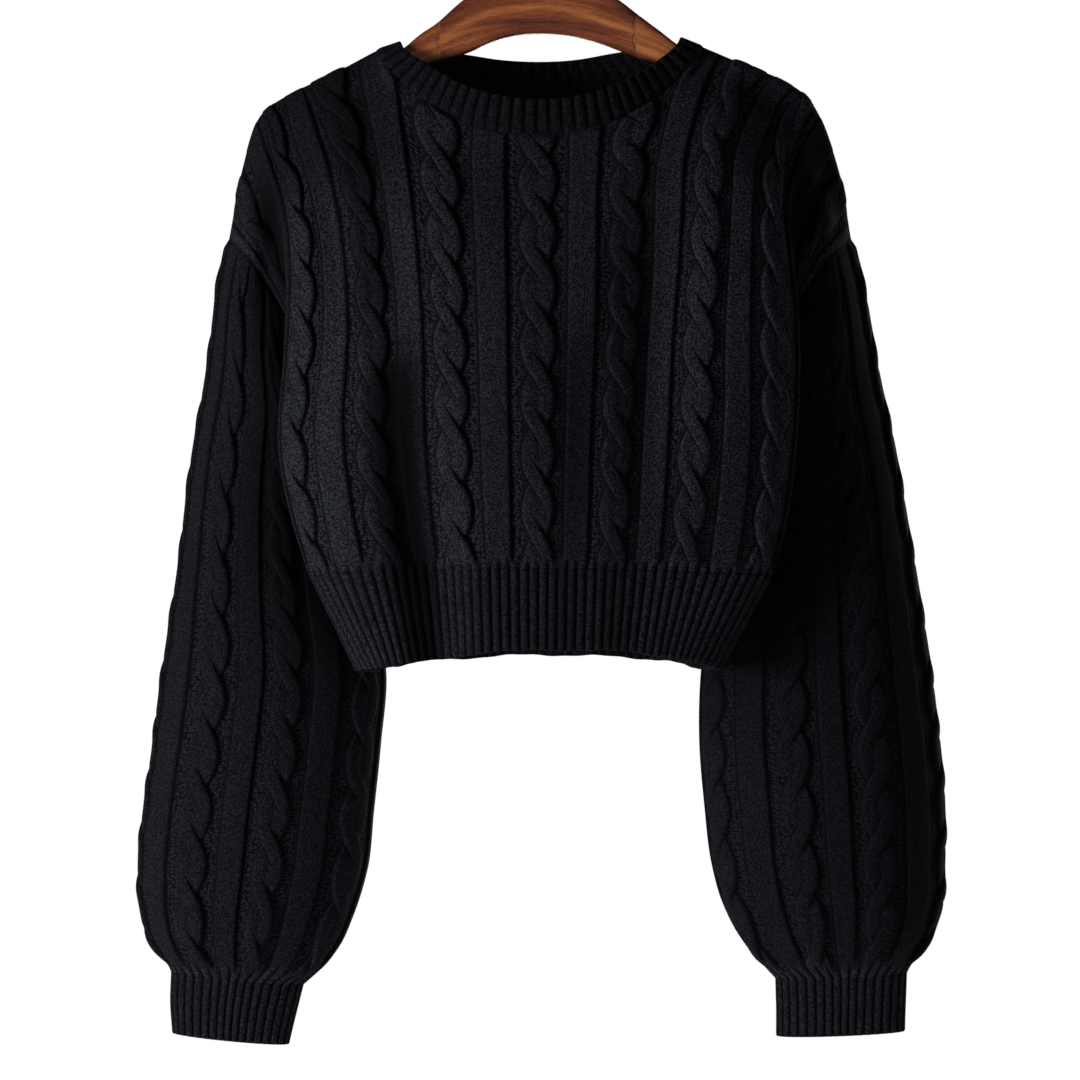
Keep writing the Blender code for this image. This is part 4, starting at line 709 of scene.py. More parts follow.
class BandCloth:
    """The plain outer surface of a band that runs along the front and back again."""

    def __init__(self, reach: float, start: Callable[[Face, Array], Array],
                 end: Callable[[Face, Array], Array]) -> None:
        """Measures the band round its middle.

        Args:
            reach: the wale at which front and back meet.
            start: the sewn edge, by face and wale.
            end: the free edge, by face and wale.
        """
        self.start, self.end = start, end
        self.wales = np.linspace(-reach, reach, BAND_STEPS + 1)
        points = np.vstack([self.middle(Face.FRONT, self.wales),
                            self.middle(Face.BACK, -self.wales)[1:]])
        run = np.concatenate([[0.0], np.cumsum(np.linalg.norm(np.diff(points, axis=0), axis=1))])
        run = run / run[-1]
        self.turn, self.ahead, self.behind = run[BAND_STEPS], run[:BAND_STEPS + 1], run[BAND_STEPS:]

    def middle(self, face: Face, wale: Array) -> Array:
        """Gives the line halfway between the band's edges."""
        return 0.5 * self.start(face, wale) + 0.5 * self.end(face, wale)

    def wales_at(self, round_: Array) -> tuple[Array, Array]:
        """Finds the front's and the back's wale at places round the band."""
        return (np.interp(round_, self.ahead, self.wales),
                np.interp(round_, self.behind, -self.wales))

    def surface(self, round_: Array, run: Array) -> Array:
        """Gives points of the band, run 0 at its seam and 1 at its free edge."""
        round_, run = np.broadcast_arrays(np.asarray(round_, float), np.asarray(run, float))
        at = round_ % 1.0
        ahead, behind = self.wales_at(at)
        back = (at > self.turn)[..., None]
        low = np.where(back, self.start(Face.BACK, behind), self.start(Face.FRONT, ahead))
        high = np.where(back, self.end(Face.BACK, behind), self.end(Face.FRONT, ahead))
        return low + (high - low) * run[..., None]

    def shade(self, round_: Array) -> Array:
        """Gives the body's painted shade at places round the hem, from the panels at their lower
        edge.
        """
        ahead, behind = self.wales_at(round_)
        zero = np.zeros_like(ahead)
        return np.where(round_ > self.turn, PANEL[Face.BACK].shade(behind, zero),
                        PANEL[Face.FRONT].shade(ahead, zero))


def hem_edge(face: Face, wale: Array) -> Array:
    """Follows the hem's free lower edge, with the folds that run into it."""
    pairs = {Face.FRONT: (HEM_FRONT_LEFT, HEM_FRONT_RIGHT),
             Face.BACK: (HEM_BACK_LEFT, HEM_BACK_RIGHT)}
    got = both_sides(pairs[face], wale)
    got[..., 1] += 0.8 * PANEL[face].folds(wale, np.zeros_like(wale))
    got[..., 2] += 1.1 * uneven(wale * 1.9, wale * 0.4, 3.0) * ramp((K_EDGE - np.abs(wale)) / 0.8)
    return got


def collar_edge(face: Face, wale: Array) -> Array:
    """Follows the neck band's free upper edge."""
    pairs = {Face.FRONT: (COLLAR_FRONT_LEFT, COLLAR_FRONT_RIGHT),
             Face.BACK: (COLLAR_BACK_LEFT, COLLAR_BACK_RIGHT)}
    return both_sides(pairs[face], wale)


# ----------------------------------------------------------------------- stitches
@dataclass(frozen=True)
class CableStitch:
    """Two strands that cross over each other, between grooves of purl and a flat rib."""

    stitches: float = 20.0            # columns of stitches in a repeat
    waist: float = 5.9                # half the cable's width at a crossing
    belly: float = 12.4               # and between two crossings
    swell: float = 0.82               # power by which it widens to the belly
    skew: float = 0.022               # the right edge is pinched this much higher up
    reach: float = 0.24               # a crossing's cut on each side of the waist
    high: float = 3.8
    over: float = 1.1                 # rise of the strand in front
    press: float = 2.5                # dip of the strand behind
    part: float = 0.8                 # dip between the strands of a belly
    brim: float = 3.2                 # width of the cable's rounded edge
    rib_from: float = 0.332           # start of the flat rib, in repeats
    rib_high: float = 2.1
    rib_edge: float = 1.8
    edge_column: float = 0.25         # even place of the column on the cable's edge
    rib_column: float = 12.5 / 38.0   # and of the one on the rib's edge

    def edge(self, period: Array, sign: Array) -> Array:
        """Gives the cable's edge, in repeats from its middle, on the side of the sign.

        Args:
            period: crossings along the cable.
            sign: -1 for the left edge and 1 for the right one, pinched a little higher up.

        Returns:
            The distance from the cable's middle.
        """
        wider = np.abs(np.sin(np.pi * (period - sign * self.skew))) ** self.swell
        return (self.waist + (self.belly - self.waist) * wider) / REPEAT

    def columns(self, local: Array, period: Array) -> Array:
        """Moves a repeat's even columns so that some of them follow the stitch's edges.

        Args:
            local: even places in the repeat, from -0.5 to 0.5.
            period: crossings along the cable, equal in shape.

        Returns:
            The places in the repeat that the columns take.
        """
        edge, far = self.edge(period, np.sign(local)), self.rib_from
        size, one, two = np.abs(local), self.edge_column, self.rib_column
        inner = edge * (1.0 - np.clip(1.0 - size / one, 0.0, 1.0) ** 1.35)
        groove = edge + (size - one) / (two - one) * (far - edge)
        rib = far + np.clip((size - two) / (0.5 - two), 0.0, 1.0) ** 1.3 * (0.5 - far)
        return np.sign(local) * np.where(size <= one, inner, np.where(size <= two, groove, rib))

    def relief(self, place: Array, period: Array, wander: Array) -> "Raised":
        """Works out what the stitch adds to plain cloth.

        Args:
            place: place in the repeat, from -0.5 to 0.5, 0 at the cable's middle.
            period: crossings along the cable.
            wander: slow unevenness, about -1 to 1.

        Returns:
            The stitch, point by point.
        """
        across = place * REPEAT
        part = period - np.round(period)
        half = self.edge(period, np.sign(across)) * REPEAT
        inner = half - np.abs(across)
        side = np.clip(inner / self.brim, 0.0, 1.0)
        crown = np.sqrt(side * (2.0 - side)) * (1.0 - 0.13 * np.minimum(across / half, 1.0) ** 2)
        from_edge = self.crossing(across, part)
        behind = ramp((from_edge + 0.7) / 1.4)
        sharp = 1.0 - ramp((np.abs(part) - 0.17) / 0.19)
        lift = self.over * np.exp(-(part / 0.2) ** 2) * (1.0 - behind)
        dip = self.press * sharp * behind * np.exp(-np.maximum(from_edge, 0.0) / 2.8)
        middle = self.part * (1.0 - sharp) * np.exp(-(across / 1.5) ** 2)
        cable = (self.high * (1.0 + 0.06 * wander) + lift - dip - middle) * crown
        past = (np.abs(place) - self.rib_from) * REPEAT
        shoulder = np.clip(past / self.rib_edge, 0.0, 1.0)
        rib = self.rib_high * np.sqrt(shoulder * (2.0 - shoulder))
        inside = inner >= -1e-6
        groove = (~inside) & (past <= 1e-6)
        near = np.where(inside, inner, np.where(groove, np.minimum(-inner, -past), past))
        split = 0.55 * (1.0 - ramp((np.abs(part) - 0.40) / 0.06))
        # Painted shade: dark lines within a millimetre either side of the cable's and the rib's
        # edges.
        return Raised(place, high=np.where(inside, cable, rib),
                      purl=np.where(groove & (past < -1e-6), 1.0, 0.0),
                      painted_light=0.9 * np.clip(1.0 - near, 0.0, 1.0), column=place * self.stitches,
                      crease=np.clip(from_edge, -CREASE_FAR, CREASE_FAR),
                      cut=np.where(inside, np.maximum(sharp, split), 0.0))

    def crossing(self, across: Array, part: Array) -> Array:
        """Measures from the edge of the strand that crosses in front, negative on it.

        Args:
            across: millimetres from the cable's middle.
            part: crossings from the nearest waist, -0.5 to 0.5.

        Returns:
            The distance in millimetres.
        """
        line = self.waist * (1.0 - (np.abs(part) - self.skew) / self.reach)
        slope = self.waist / (self.reach * LOBE)
        return (np.where(part >= 0.0, across, -across) - line) / math.hypot(1.0, slope)


CABLE = CableStitch()


# ---------------------------------------------------------------- mesh and weaving
@dataclass
class Raised:
    """What a stitch adds to plain cloth, point by point."""

    place: Array                # across the repeat, or round the tube
    high: Array                 # height over the outside
    purl: Array                 # share of purl
    painted_light: Array               # share of painted shade
    column: Array               # column of stitches
    crease: Array               # millimetres from a crossing's cut
    cut: Array                  # how sharp that cut is
    low: Array | float = 0.0    # height over the inside

    def into_rib(self, share: Array, rib: Array) -> None:
        """Lets the stitch run over into ribs.

        Args:
            share: how far each point has become rib, 0 to 1.
            rib: the rib's section, 0 in a groove and the full height on a ridge.
        """
        self.high = self.high + share * (rib - self.high)
        self.purl, self.cut = self.purl * (1.0 - share), self.cut * (1.0 - share)
        # Painted shade: the ribs' grooves are darkened.
        dark = 1.0 - ramp(rib / 1.75)
        self.painted_light = self.painted_light + share * (dark - self.painted_light)


@dataclass
class Knitting:
    """One grid of cloth: its points and what its stitches are like there."""

    points: Array
    stitch: Array
    purl: Array
    # share of painted shade on cloth; on the board, its height across, from which the wood paints
    # shade and a highlight
    painted_light: Array
    crease: Array
    cut: Array
    sewn_end: int = 0

    @property
    def rows(self) -> int:
        """Number of rows of points."""
        return self.points.shape[0]

    @property
    def columns(self) -> int:
        """Number of columns of points."""
        return self.points.shape[1]


class Weaver:
    """Makes a closed cloth mesh out of one or two grids."""

    def __init__(self, name: str, grids: Sequence[Knitting]) -> None:
        """Keeps the grids, the outside first.

        Args:
            name: the piece's name.
            grids: one grid that closes on itself, or an outside and an inside.
        """
        self.name, self.grids = name, list(grids)

    def side_edges(self, work: bmesh.types.BMesh) -> list[list[bmesh.types.BMEdge]]:
        """Collects the matching outside and inside edges along each of the four sides."""
        work.verts.ensure_lookup_table()
        found: list[list[bmesh.types.BMEdge]] = [[], [], [], []]
        start = 0
        for grid in self.grids:
            index = np.arange(grid.rows * grid.columns).reshape(grid.rows, grid.columns) + start
            for place, line in enumerate((index[0], index[-1], index[:, 0], index[:, -1])):
                for one, two in zip(line[:-1], line[1:]):
                    pair = (work.verts[int(one)], work.verts[int(two)])
                    found[place].append(work.edges.get(pair))
            start += grid.rows * grid.columns
        return found

    def border(self, work: bmesh.types.BMesh) -> list[bmesh.types.BMEdge]:
        """Finds the outside's edges that a seam turns over: all four sides, or the first row."""
        work.verts.ensure_lookup_table()
        grid = self.grids[0]
        index = np.arange(grid.rows * grid.columns).reshape(grid.rows, grid.columns)
        lines = [index[0]]
        if len(self.grids) > 1:
            lines += [index[-1], index[:, 0], index[:, -1]]
        elif grid.sewn_end:
            lines.append(index[grid.sewn_end])
        pairs = [(work.verts[int(a)], work.verts[int(b)])
                 for line in lines for a, b in zip(line[:-1], line[1:])]
        return [edge for edge in map(work.edges.get, pairs) if edge]

    def build(self, closed: bool) -> bpy.types.Object:
        """Lays the grids out, moves them to their points and closes the cloth.

        Args:
            closed: whether the one grid closes on itself both ways.

        Returns:
            The piece's object, shaded smooth.
        """
        work = bmesh.new()
        for grid in self.grids:
            bmesh.ops.create_grid(work, x_segments=grid.columns - 1, y_segments=grid.rows - 1,
                                  size=0.5)
        mesh = bpy.data.meshes.new(self.name)
        work.to_mesh(mesh)
        work.free()
        points = np.concatenate([grid.points.reshape(-1, 3) for grid in self.grids]) * METRES
        mesh.vertices.foreach_set("co", points.ravel())
        corner = np.empty(len(mesh.loops), np.int32)
        mesh.loops.foreach_get("vertex_index", corner)
        stitch = np.concatenate([grid.stitch.reshape(-1, 2) for grid in self.grids])
        mesh.uv_layers.new(name="stitch").uv.foreach_set("vector", stitch[corner].ravel())
        for label in ("purl", "painted_light", "crease", "cut"):
            values = np.concatenate([getattr(grid, label).ravel() for grid in self.grids])
            mesh.attributes.new(label, "FLOAT", "POINT").data.foreach_set("value", values)
        work = bmesh.new()
        work.from_mesh(mesh)
        if not closed:
            for edges in self.side_edges(work):
                bmesh.ops.bridge_loops(work, edges=edges)
        for edge in self.border(work):
            edge.smooth = False
        bmesh.ops.remove_doubles(work, verts=work.verts, dist=2e-6)
        bmesh.ops.dissolve_degenerate(work, edges=work.edges, dist=1e-6)
        bmesh.ops.recalc_face_normals(work, faces=work.faces)
        for face in work.faces:
            face.smooth = True
        work.to_mesh(mesh)
        work.free()
        made = bpy.data.objects.new(self.name, mesh)
        bpy.context.scene.collection.objects.link(made)
        return made


def calm(field: Array, passes: int, closed: bool) -> Array:
    """Evens out a grid of vectors, keeping its borders.

    Args:
        field: rows by columns of vectors.
        passes: how many times to even it out.
        closed: whether the last column is the first one again.

    Returns:
        The unit vectors.
    """
    got = field.copy()
    for _ in range(passes):
        if closed:
            wide = np.concatenate([got[:, -2:-1], got, got[:, 1:2]], axis=1)
        else:
            wide = np.concatenate([got[:, :1], got, got[:, -1:]], axis=1)
        got = 0.5 * got + 0.25 * (wide[:, :-2] + wide[:, 2:])
        tall = np.concatenate([got[:1], got, got[-1:]], axis=0)
        got = 0.5 * got + 0.25 * (tall[:-2] + tall[2:])
    return unit(got)


# ------------------------------------------------------------------------- pieces
@dataclass
class Panel:
    """The knitted front or back of the body."""

    face: Face
    hem: "RibBand"
    around: BandCloth
    columns: int = 38               # in each repeat
    rows: int = 244
    inner_columns: int = 64
    inner_rows: int = 44
    seam_wide: float = 6.5          # the stitch rises over this from a seam
    seam_near: float = 3.2          # half width of the seam's groove
    seam_deep: float = 0.7
    calm_passes: int = 8            # how far the stitch's direction is evened out
    edge_wide: float = 52.0         # cloth in one wale at the side edge
    flat_wide: float = 34.0         # the cloth is pressed flatter this far from the shoulder
    underarm: tuple[float, float] = (0.36, 0.88)   # levels pressed flatter by the sleeve
    hem_blend: float = 7.0          # length over which the hem's ribs run up

    def hem_turn(self, wale: Array) -> Array:
        """Gives the hem's rib count below each wale, so that its ribs run up into the panel."""
        if self.face is Face.FRONT:
            return np.interp(wale, self.around.wales, self.around.ahead) * self.hem.ribs
        return np.interp(-wale, self.around.wales, self.around.behind) * self.hem.ribs

    def normal(self, wale: Array, level: Array, passes: int) -> Array:
        """Finds the panel's outward direction, evened out in some passes."""
        cloth, reach = PANEL[self.face], K_EDGE - NUDGE
        way = outward(cloth.surface, np.clip(wale, -reach, reach), level, -cloth.outer_sign)
        return calm(way, passes, False)

    def fullness(self, wale: Array, level: Array, rim: Array) -> Array:
        """Says how much of its height the stitch keeps near seams and under the arm.

        Args:
            wale: places across the panel.
            level: places up the panel.
            rim: millimetres from the nearest seam other than the hem's.

        Returns:
            The shares, from 0 to 1.
        """
        low, high = self.underarm
        pressed = (ramp((np.abs(wale) - 3.45) / 0.4) * ramp((level - low) / 0.08)
                   * ramp((high - level) / 0.08))
        shoulder = (1.0 - ramp(rim / self.flat_wide)) * ramp((np.abs(wale) - 1.2) / 1.3)
        return ramp(rim / self.seam_wide) * (1.0 - 0.4 * pressed) * (1.0 - 0.65 * shoulder)

    def outside(self) -> Knitting:
        """Knits the outside: cables, purl grooves and flat ribs over the panel's form."""
        cloth = PANEL[self.face]
        local = (np.arange(self.columns) + 0.5) / self.columns - 0.5
        repeat = np.arange(-(PANEL_REPEATS // 2), PANEL_REPEATS // 2 + 1)
        even = (repeat[:, None] + np.concatenate([[-0.5], local])[None, :]).ravel()
        even = np.unique(np.round(np.append(even, K_EDGE), 9))
        share = np.linspace(0.0, 1.0, self.rows + 1)
        level = np.broadcast_to(share[:, None], (len(share), len(even)))
        middle = np.broadcast_to(np.round(np.clip(even, 0.1 - K_EDGE, K_EDGE - 0.1)), level.shape)
        run = level * cloth.long(middle)
        period = (run - FIRST_ROW) / LOBE
        place = CABLE.columns(even - middle, period)
        wale = middle + place
        wander = uneven(wale * 2.0, run / 40.0, 1.0 if self.face is Face.FRONT else 4.0)
        raised = CABLE.relief(place, period, wander)
        normal = self.normal(wale, level, self.calm_passes)
        rim = np.minimum((K_EDGE - np.abs(wale)) * self.edge_wide,
                         (1.0 - level) * cloth.long(middle))
        keep = self.fullness(wale, level, rim)
        ribbed = 1.0 - ramp((run - 1.5 - 1.5 * uneven(wale * 3.0, wale, 5.0)) / self.hem_blend)
        raised.into_rib(ribbed, self.hem.high * RibBand.profile(self.hem_turn(wale)))
        push = raised.high * keep - self.seam_deep * (1.0 - ramp(rim / self.seam_near))
        points = cloth.surface(wale, level) + push[..., None] * normal
        stitch = np.stack([middle * CABLE.stitches + raised.column, run / COURSE], axis=-1)
        # Painted shade: the stitch's dark lines, a darker strip within 3 mm of the seams, and the
        # panel's painted fold and underarm shades.
        painted_light = np.maximum(raised.painted_light, 0.6 * (1.0 - ramp(rim / 3.0)))
        painted_light = 1.0 - (1.0 - painted_light) * (1.0 - cloth.shade(wale, level))
        return Knitting(points, stitch, raised.purl * keep, painted_light, raised.crease, raised.cut)

    def inside(self) -> Knitting:
        """Lays the plain inside, one wall under the outside."""
        cloth = PANEL[self.face]
        share = np.linspace(0.0, 1.0, self.inner_rows + 1)
        wale, level = np.meshgrid(np.linspace(-K_EDGE, K_EDGE, self.inner_columns + 1), share)
        points = cloth.surface(wale, level) - WALL * self.normal(wale, level, 1)
        stitch = np.stack([wale * CABLE.stitches, level * cloth.long(wale) / COURSE], axis=-1)
        ones = np.ones_like(level)
        # Painted shade: the inside is coloured 0.6 dark all over.
        return Knitting(points, stitch, ones, 0.6 * ones, ones, 0.0 * ones)

    def make(self) -> bpy.types.Object:
        """Builds the panel and lets it stand for its solid."""
        made = Weaver(self.face.value + "_knit", [self.outside(), self.inside()]).build(False)
        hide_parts(self.face.value)
        return made


@dataclass
class Tube:
    """A knitted tube with one sewn edge and either a free or a second sewn edge."""

    name: str
    node: str
    surface: Surface
    flip: float
    length: float
    rows: int
    inner_rows: int
    free: bool = True           # whether the far edge hangs free, and is rolled
    rim_rows: int = 7
    seam_deep: float = 0.8
    seam_near: float = 2.4      # half width of the seam's groove
    seam_wide: float = 5.0      # the stitch rises over this from a seam
    full_from: float = 26.0     # and has its full height from here
    flows: bool = False         # whether the ribs flow on over the seam
    tuck: float = 0.0           # how far the sewn edge is tucked under its neighbour

    def lay(self) -> tuple[Array, Array, Array]:
        """Lays the rows: down the outside, round the end and back up the inside.

        Returns:
            Each row's run, its share of the outside and its push past the run, in mm.
        """
        half = WALL / 2.0
        stop = 1.0 - half / self.length if self.free else 1.0
        outer = np.linspace(0.0, stop, self.rows + 1)
        inner = np.linspace(stop, 0.0, self.inner_rows + 1)
        turn = np.linspace(0.0, np.pi, self.rim_rows + 2)[1:-1] if self.free else np.zeros(0)
        run = np.concatenate([outer, np.full(len(turn), stop), inner, [0.0]])
        outside = np.concatenate([np.ones(len(outer)), 0.5 + 0.5 * np.cos(turn),
                                  np.zeros(len(inner)), [1.0]])
        past = np.concatenate([np.zeros(len(outer)), half * np.sin(turn), np.zeros(len(inner) + 1)])
        return run, outside, past

    def knit(self, stitches: Callable[[Array, Array], Raised], even: Array) -> Knitting:
        """Raises the stitches on both faces of the tube.

        Args:
            stitches: gives the stitch by even place round and millimetres along.
            even: even places round, from 0 to 1 with both ends.

        Returns:
            The grid of the whole closed tube.
        """
        run, outside, past = self.lay()
        level = np.broadcast_to(run[:, None], (len(run), len(even)))
        along = level * self.length
        got = stitches(np.broadcast_to(even, level.shape), along)
        place = got.place
        base = self.surface(place, level)
        ahead = np.minimum(level + NUDGE, 1.0)
        down = unit(self.surface(place, ahead) - self.surface(place, ahead - 2.0 * NUDGE))
        normal = calm(outward(self.surface, place, level, self.flip), 2, True)
        normal[:, -1] = normal[:, 0]
        edge = np.full_like(along, 99.0) if self.flows else along
        keep = ramp(edge / self.seam_wide) * (0.6 + 0.4 * ramp(edge / self.full_from))
        dip = self.seam_deep * (1.0 - ramp(edge / self.seam_near))
        face = outside[:, None]
        tuck = self.tuck * (1.0 - ramp(edge / 4.0))
        push = face * (got.high * keep - dip - 0.3 * tuck) + (1.0 - face) * (got.low * keep - WALL)
        points = base + push[..., None] * normal + (past[:, None] - tuck)[..., None] * down
        points[-1], points[:, -1] = points[0], points[:, 0]
        stitch = np.stack([got.column, (along + past[:, None]) / COURSE], axis=-1)
        # Painted shade: darker within 2.5 mm of a sewn edge.
        painted_light = np.maximum(got.painted_light, 0.6 * (1.0 - ramp(edge / 2.5)))
        return Knitting(points, stitch, got.purl, painted_light, got.crease, got.cut,
                        0 if self.free else self.rows)

    def make(self, grid: Knitting) -> bpy.types.Object:
        """Closes the tube's mesh and lets it stand for its solid."""
        made = Weaver(self.name, [grid]).build(True)
        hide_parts(self.node)
        return made


@dataclass
class Sleeve:
    """A full sleeve: seven cable repeats, gathered into the cuff."""

    side: Side
    cuff_high: float = 1.6      # height of the cuff's ribs
    first_row: float = 24.0     # first crossing below the armhole
    least: tuple[float, float] = (0.47, 0.54)   # painted shade of the whole left and right sleeve
    most: float = 0.97          # painted shade under the arm
    under_at: float = 0.11      # middle of that painted shade round the sleeve, and its half width
    under_wide: float = 0.21
    columns: int = 44           # in each repeat
    rows: int = 232
    inner_rows: int = 20

    def stitches(self, even: Array, along: Array) -> Raised:
        """Raises the cable stitch round the sleeve and lets it swell above the cuff."""
        phase = SLEEVE_PHASE[self.side.name.lower()]
        period = (along - self.first_row) / LOBE
        turned = even * SLEEVE_REPEATS - phase
        middle = np.round(turned)
        place = CABLE.columns(turned - middle, period)
        round_ = (middle + place + phase) / SLEEVE_REPEATS
        round_[:, 0], round_[:, -1] = 0.0, 1.0
        wander = uneven(round_ * 2.0 * np.pi, along / 45.0, 2.0 + self.side.value)
        raised = CABLE.relief(place, period, wander)
        pressed = (1.0 - ramp((along - 12.0) / 50.0)) * ramp((np.abs(round_ - 0.5) - 0.24) / 0.12)
        swell = 1.0 + 0.25 * ramp((along - 400.0) / 40.0)
        raised.place, raised.high = round_, raised.high * (1.0 - 0.7 * pressed) * swell
        ribbed = ramp((along - SLEEVE_RUN + 15.0 + 3.0 * uneven(round_ * 20.0, round_, 2.0)) / 11.0)
        # Painted shade: the whole sleeve is darkened, and more under the arm near the body.
        away = np.abs((round_ - self.under_at + 0.5) % 1.0 - 0.5)
        under = (1.0 - ramp((along - 110.0) / 230.0)) * ramp(1.3 - away / self.under_wide)
        least = self.least[self.side.value]
        raised.painted_light = 1.0 - (1.0 - raised.painted_light) * (1.0 - least - (self.most - least) * under)
        turn = cuff_round(self.side, round_) * CUFF_RIBS
        raised.into_rib(ribbed, self.cuff_high * RibBand.profile(turn))
        raised.column = raised.column + (middle % SLEEVE_REPEATS) * CABLE.stitches
        return raised

    def make(self) -> bpy.types.Object:
        """Builds the sleeve."""
        word = self.side.name.lower()
        tube = Tube(f"sleeve_{word}_knit", f"sleeve_{word}", sleeve_cloth(self.side),
                    flip=-1.0 if self.side is Side.RIGHT else 1.0, length=SLEEVE_RUN,
                    rows=self.rows, inner_rows=self.inner_rows, free=False, tuck=3.0)
        count = self.columns * SLEEVE_REPEATS
        phase = SLEEVE_PHASE[word]
        even = (np.arange(count) + 0.5) / count + phase / SLEEVE_REPEATS
        even = np.concatenate([[0.0], np.sort(even % 1.0), [1.0]])
        even = even[np.concatenate([[True], np.diff(even) > 1e-4])]
        return tube.make(tube.knit(self.stitches, even))


@dataclass
class RibBand:
    """A band knitted in single rib: the hem, the neck band or a cuff."""

    tube: Tube
    ribs: int
    high: float
    round_columns: int = 8              # in each rib
    wander: float = 0.06                # unevenness of the ribs' height
    around: BandCloth | None = None     # the hem's cloth, which takes the body's painted shades
    shade: float = 0.15                 # least painted shade everywhere

    @staticmethod
    def profile(turn: Array) -> Array:
        """Gives a rib's section: a broad round ridge and a narrow groove, from 0 to 1."""
        away = np.abs((turn - 0.25) % 1.0 - 0.5) * 2.0
        rise = np.clip((away - 0.13) / 0.87, 0.0, 1.0)
        return np.sqrt(rise * (2.0 - rise))

    def stitches(self, even: Array, along: Array) -> Raised:
        """Raises the ribs outside, and inside where the grooves are outside."""
        turn = even * self.ribs
        rib = self.profile(turn)
        fuller = 1.0 + self.wander * uneven(even * 40.0, along / 20.0, float(self.ribs))
        # Painted shade: darker in the ribs' grooves, under the body's folds on the hem, and the
        # band's least shade all over.
        dark, zero = 1.0 - ramp(rib / 0.88), np.zeros_like(rib)
        if self.around:
            dark = 1.0 - (1.0 - dark) * (1.0 - self.around.shade(even))
        dark = 1.0 - (1.0 - dark) * (1.0 - self.shade)
        return Raised(even, high=self.high * rib * fuller, purl=0.35 * dark, painted_light=dark,
                      column=turn * 2.0, crease=zero + CREASE_FAR, cut=zero,
                      low=0.5 * self.high * self.profile(turn + 0.5))

    def make(self) -> bpy.types.Object:
        """Builds the band."""
        even = np.linspace(0.0, 1.0, self.ribs * self.round_columns + 1)
        return self.tube.make(self.tube.knit(self.stitches, even))


def seat_line() -> tuple[Array, Array]:
    """Finds the board's top under the cloth on each side, just inside the shoulder seam."""
    lines = []
    for rows, collar in ((SHOULDER_LEFT, COLLAR_FRONT_LEFT), (SHOULDER_RIGHT, COLLAR_FRONT_RIGHT)):
        points = table(rows, np.array([K_NECK, 1.75, 2.1, 2.45, 2.68, 2.82]))[:, [0, 2]]
        points = np.vstack([[[collar[-1][1], collar[-1][3]]], points])
        run = unit(np.gradient(points, axis=0))
        down = np.stack([run[:, 1], -run[:, 0]], axis=1)
        down *= -np.sign(down[:, 1:2])
        room = WALL + SEAT_GAP + 0.05 + np.array([1.7, 1.7, 0.5, 0.0, 0.0, 0.6, 2.0])
        lines.append(points + down * room[:, None])
    return lines[0], lines[1]


@dataclass
class Board:
    """The hanger's flat board, rounded along its upper edge and at its tips."""

    stations: int = 150
    around: int = 40
    tip: float = 9.0            # radius of the rounded tips
    low_edge: float = 0.55      # how round the lower edge is, set against the upper one

    def outline(self) -> tuple[Array, Array, Array, Array]:
        """Gives each station's x, top, bottom and half thickness."""
        left, right = seat_line()
        top = np.vstack([left, np.array(BOARD_TOP), right])
        top = top[np.argsort(top[:, 0])]
        x = np.linspace(top[0, 0], top[-1, 0], self.stations)
        ease = 0.5 - 0.5 * np.cos(np.linspace(0.0, np.pi, 9))
        x = np.unique(np.concatenate([x, top[0, 0] + self.tip * ease ** 1.5,
                                      top[-1, 0] - self.tip * ease ** 1.5]))
        high = smooth(top[:, 0], top[:, 1], x)
        low = smooth(np.array(BOARD_BOTTOM)[:, 0], np.array(BOARD_BOTTOM)[:, 1], x)
        away = np.minimum(x - x[0], x[-1] - x)
        shrink = np.sqrt(np.clip(1.0 - (1.0 - np.clip(away / self.tip, 0.0, 1.0)) ** 2, 0.0, 1.0))
        middle = 0.5 * (high + low) + (high - low) * 0.12 * (1.0 - shrink)
        half = 0.5 * (high - low) * shrink
        return x, middle + half, middle - half, 0.5 * BOARD * shrink ** 0.6

    def make(self) -> bpy.types.Object:
        """Sweeps the rounded section along the board."""
        x, high, low, half = self.outline()
        turn = np.linspace(0.0, 2.0 * np.pi, self.around + 1)
        cos, sin = np.cos(turn), np.sin(turn)
        tall = 0.5 * (high - low)
        round_top = np.minimum(half, tall)[:, None]
        y = half[:, None] * np.sign(cos) * np.abs(cos) ** 0.42
        lift = np.where(sin > 0.0, np.abs(sin) ** 0.85, np.abs(sin) ** 0.6)
        corner = round_top * np.where(sin > 0.0, 1.0, self.low_edge)
        core = tall[:, None] - corner
        edge = np.sign(sin) * (core * np.minimum(np.abs(sin) * 2.2, 1.0) + corner * lift ** 1.6)
        z = 0.5 * (high + low)[:, None] + np.clip(edge, -tall[:, None], tall[:, None])
        points = np.stack([np.broadcast_to(x[:, None], y.shape), y, z], axis=-1)
        flat = np.stack(np.meshgrid(turn / (2.0 * np.pi), x * METRES), axis=-1)
        zero = np.zeros(y.shape)
        # The height across the board is kept for the wood's painted shade along its edges and
        # painted highlight along its middle.
        height = np.clip((z - low[:, None]) / (high - low + 1e-6)[:, None], 0.0, 1.0)
        grid = Knitting(points, flat, zero, height, zero, zero)
        made = Weaver("hanger_board", [grid]).build(True)
        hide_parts("hanger_wood")
        return made


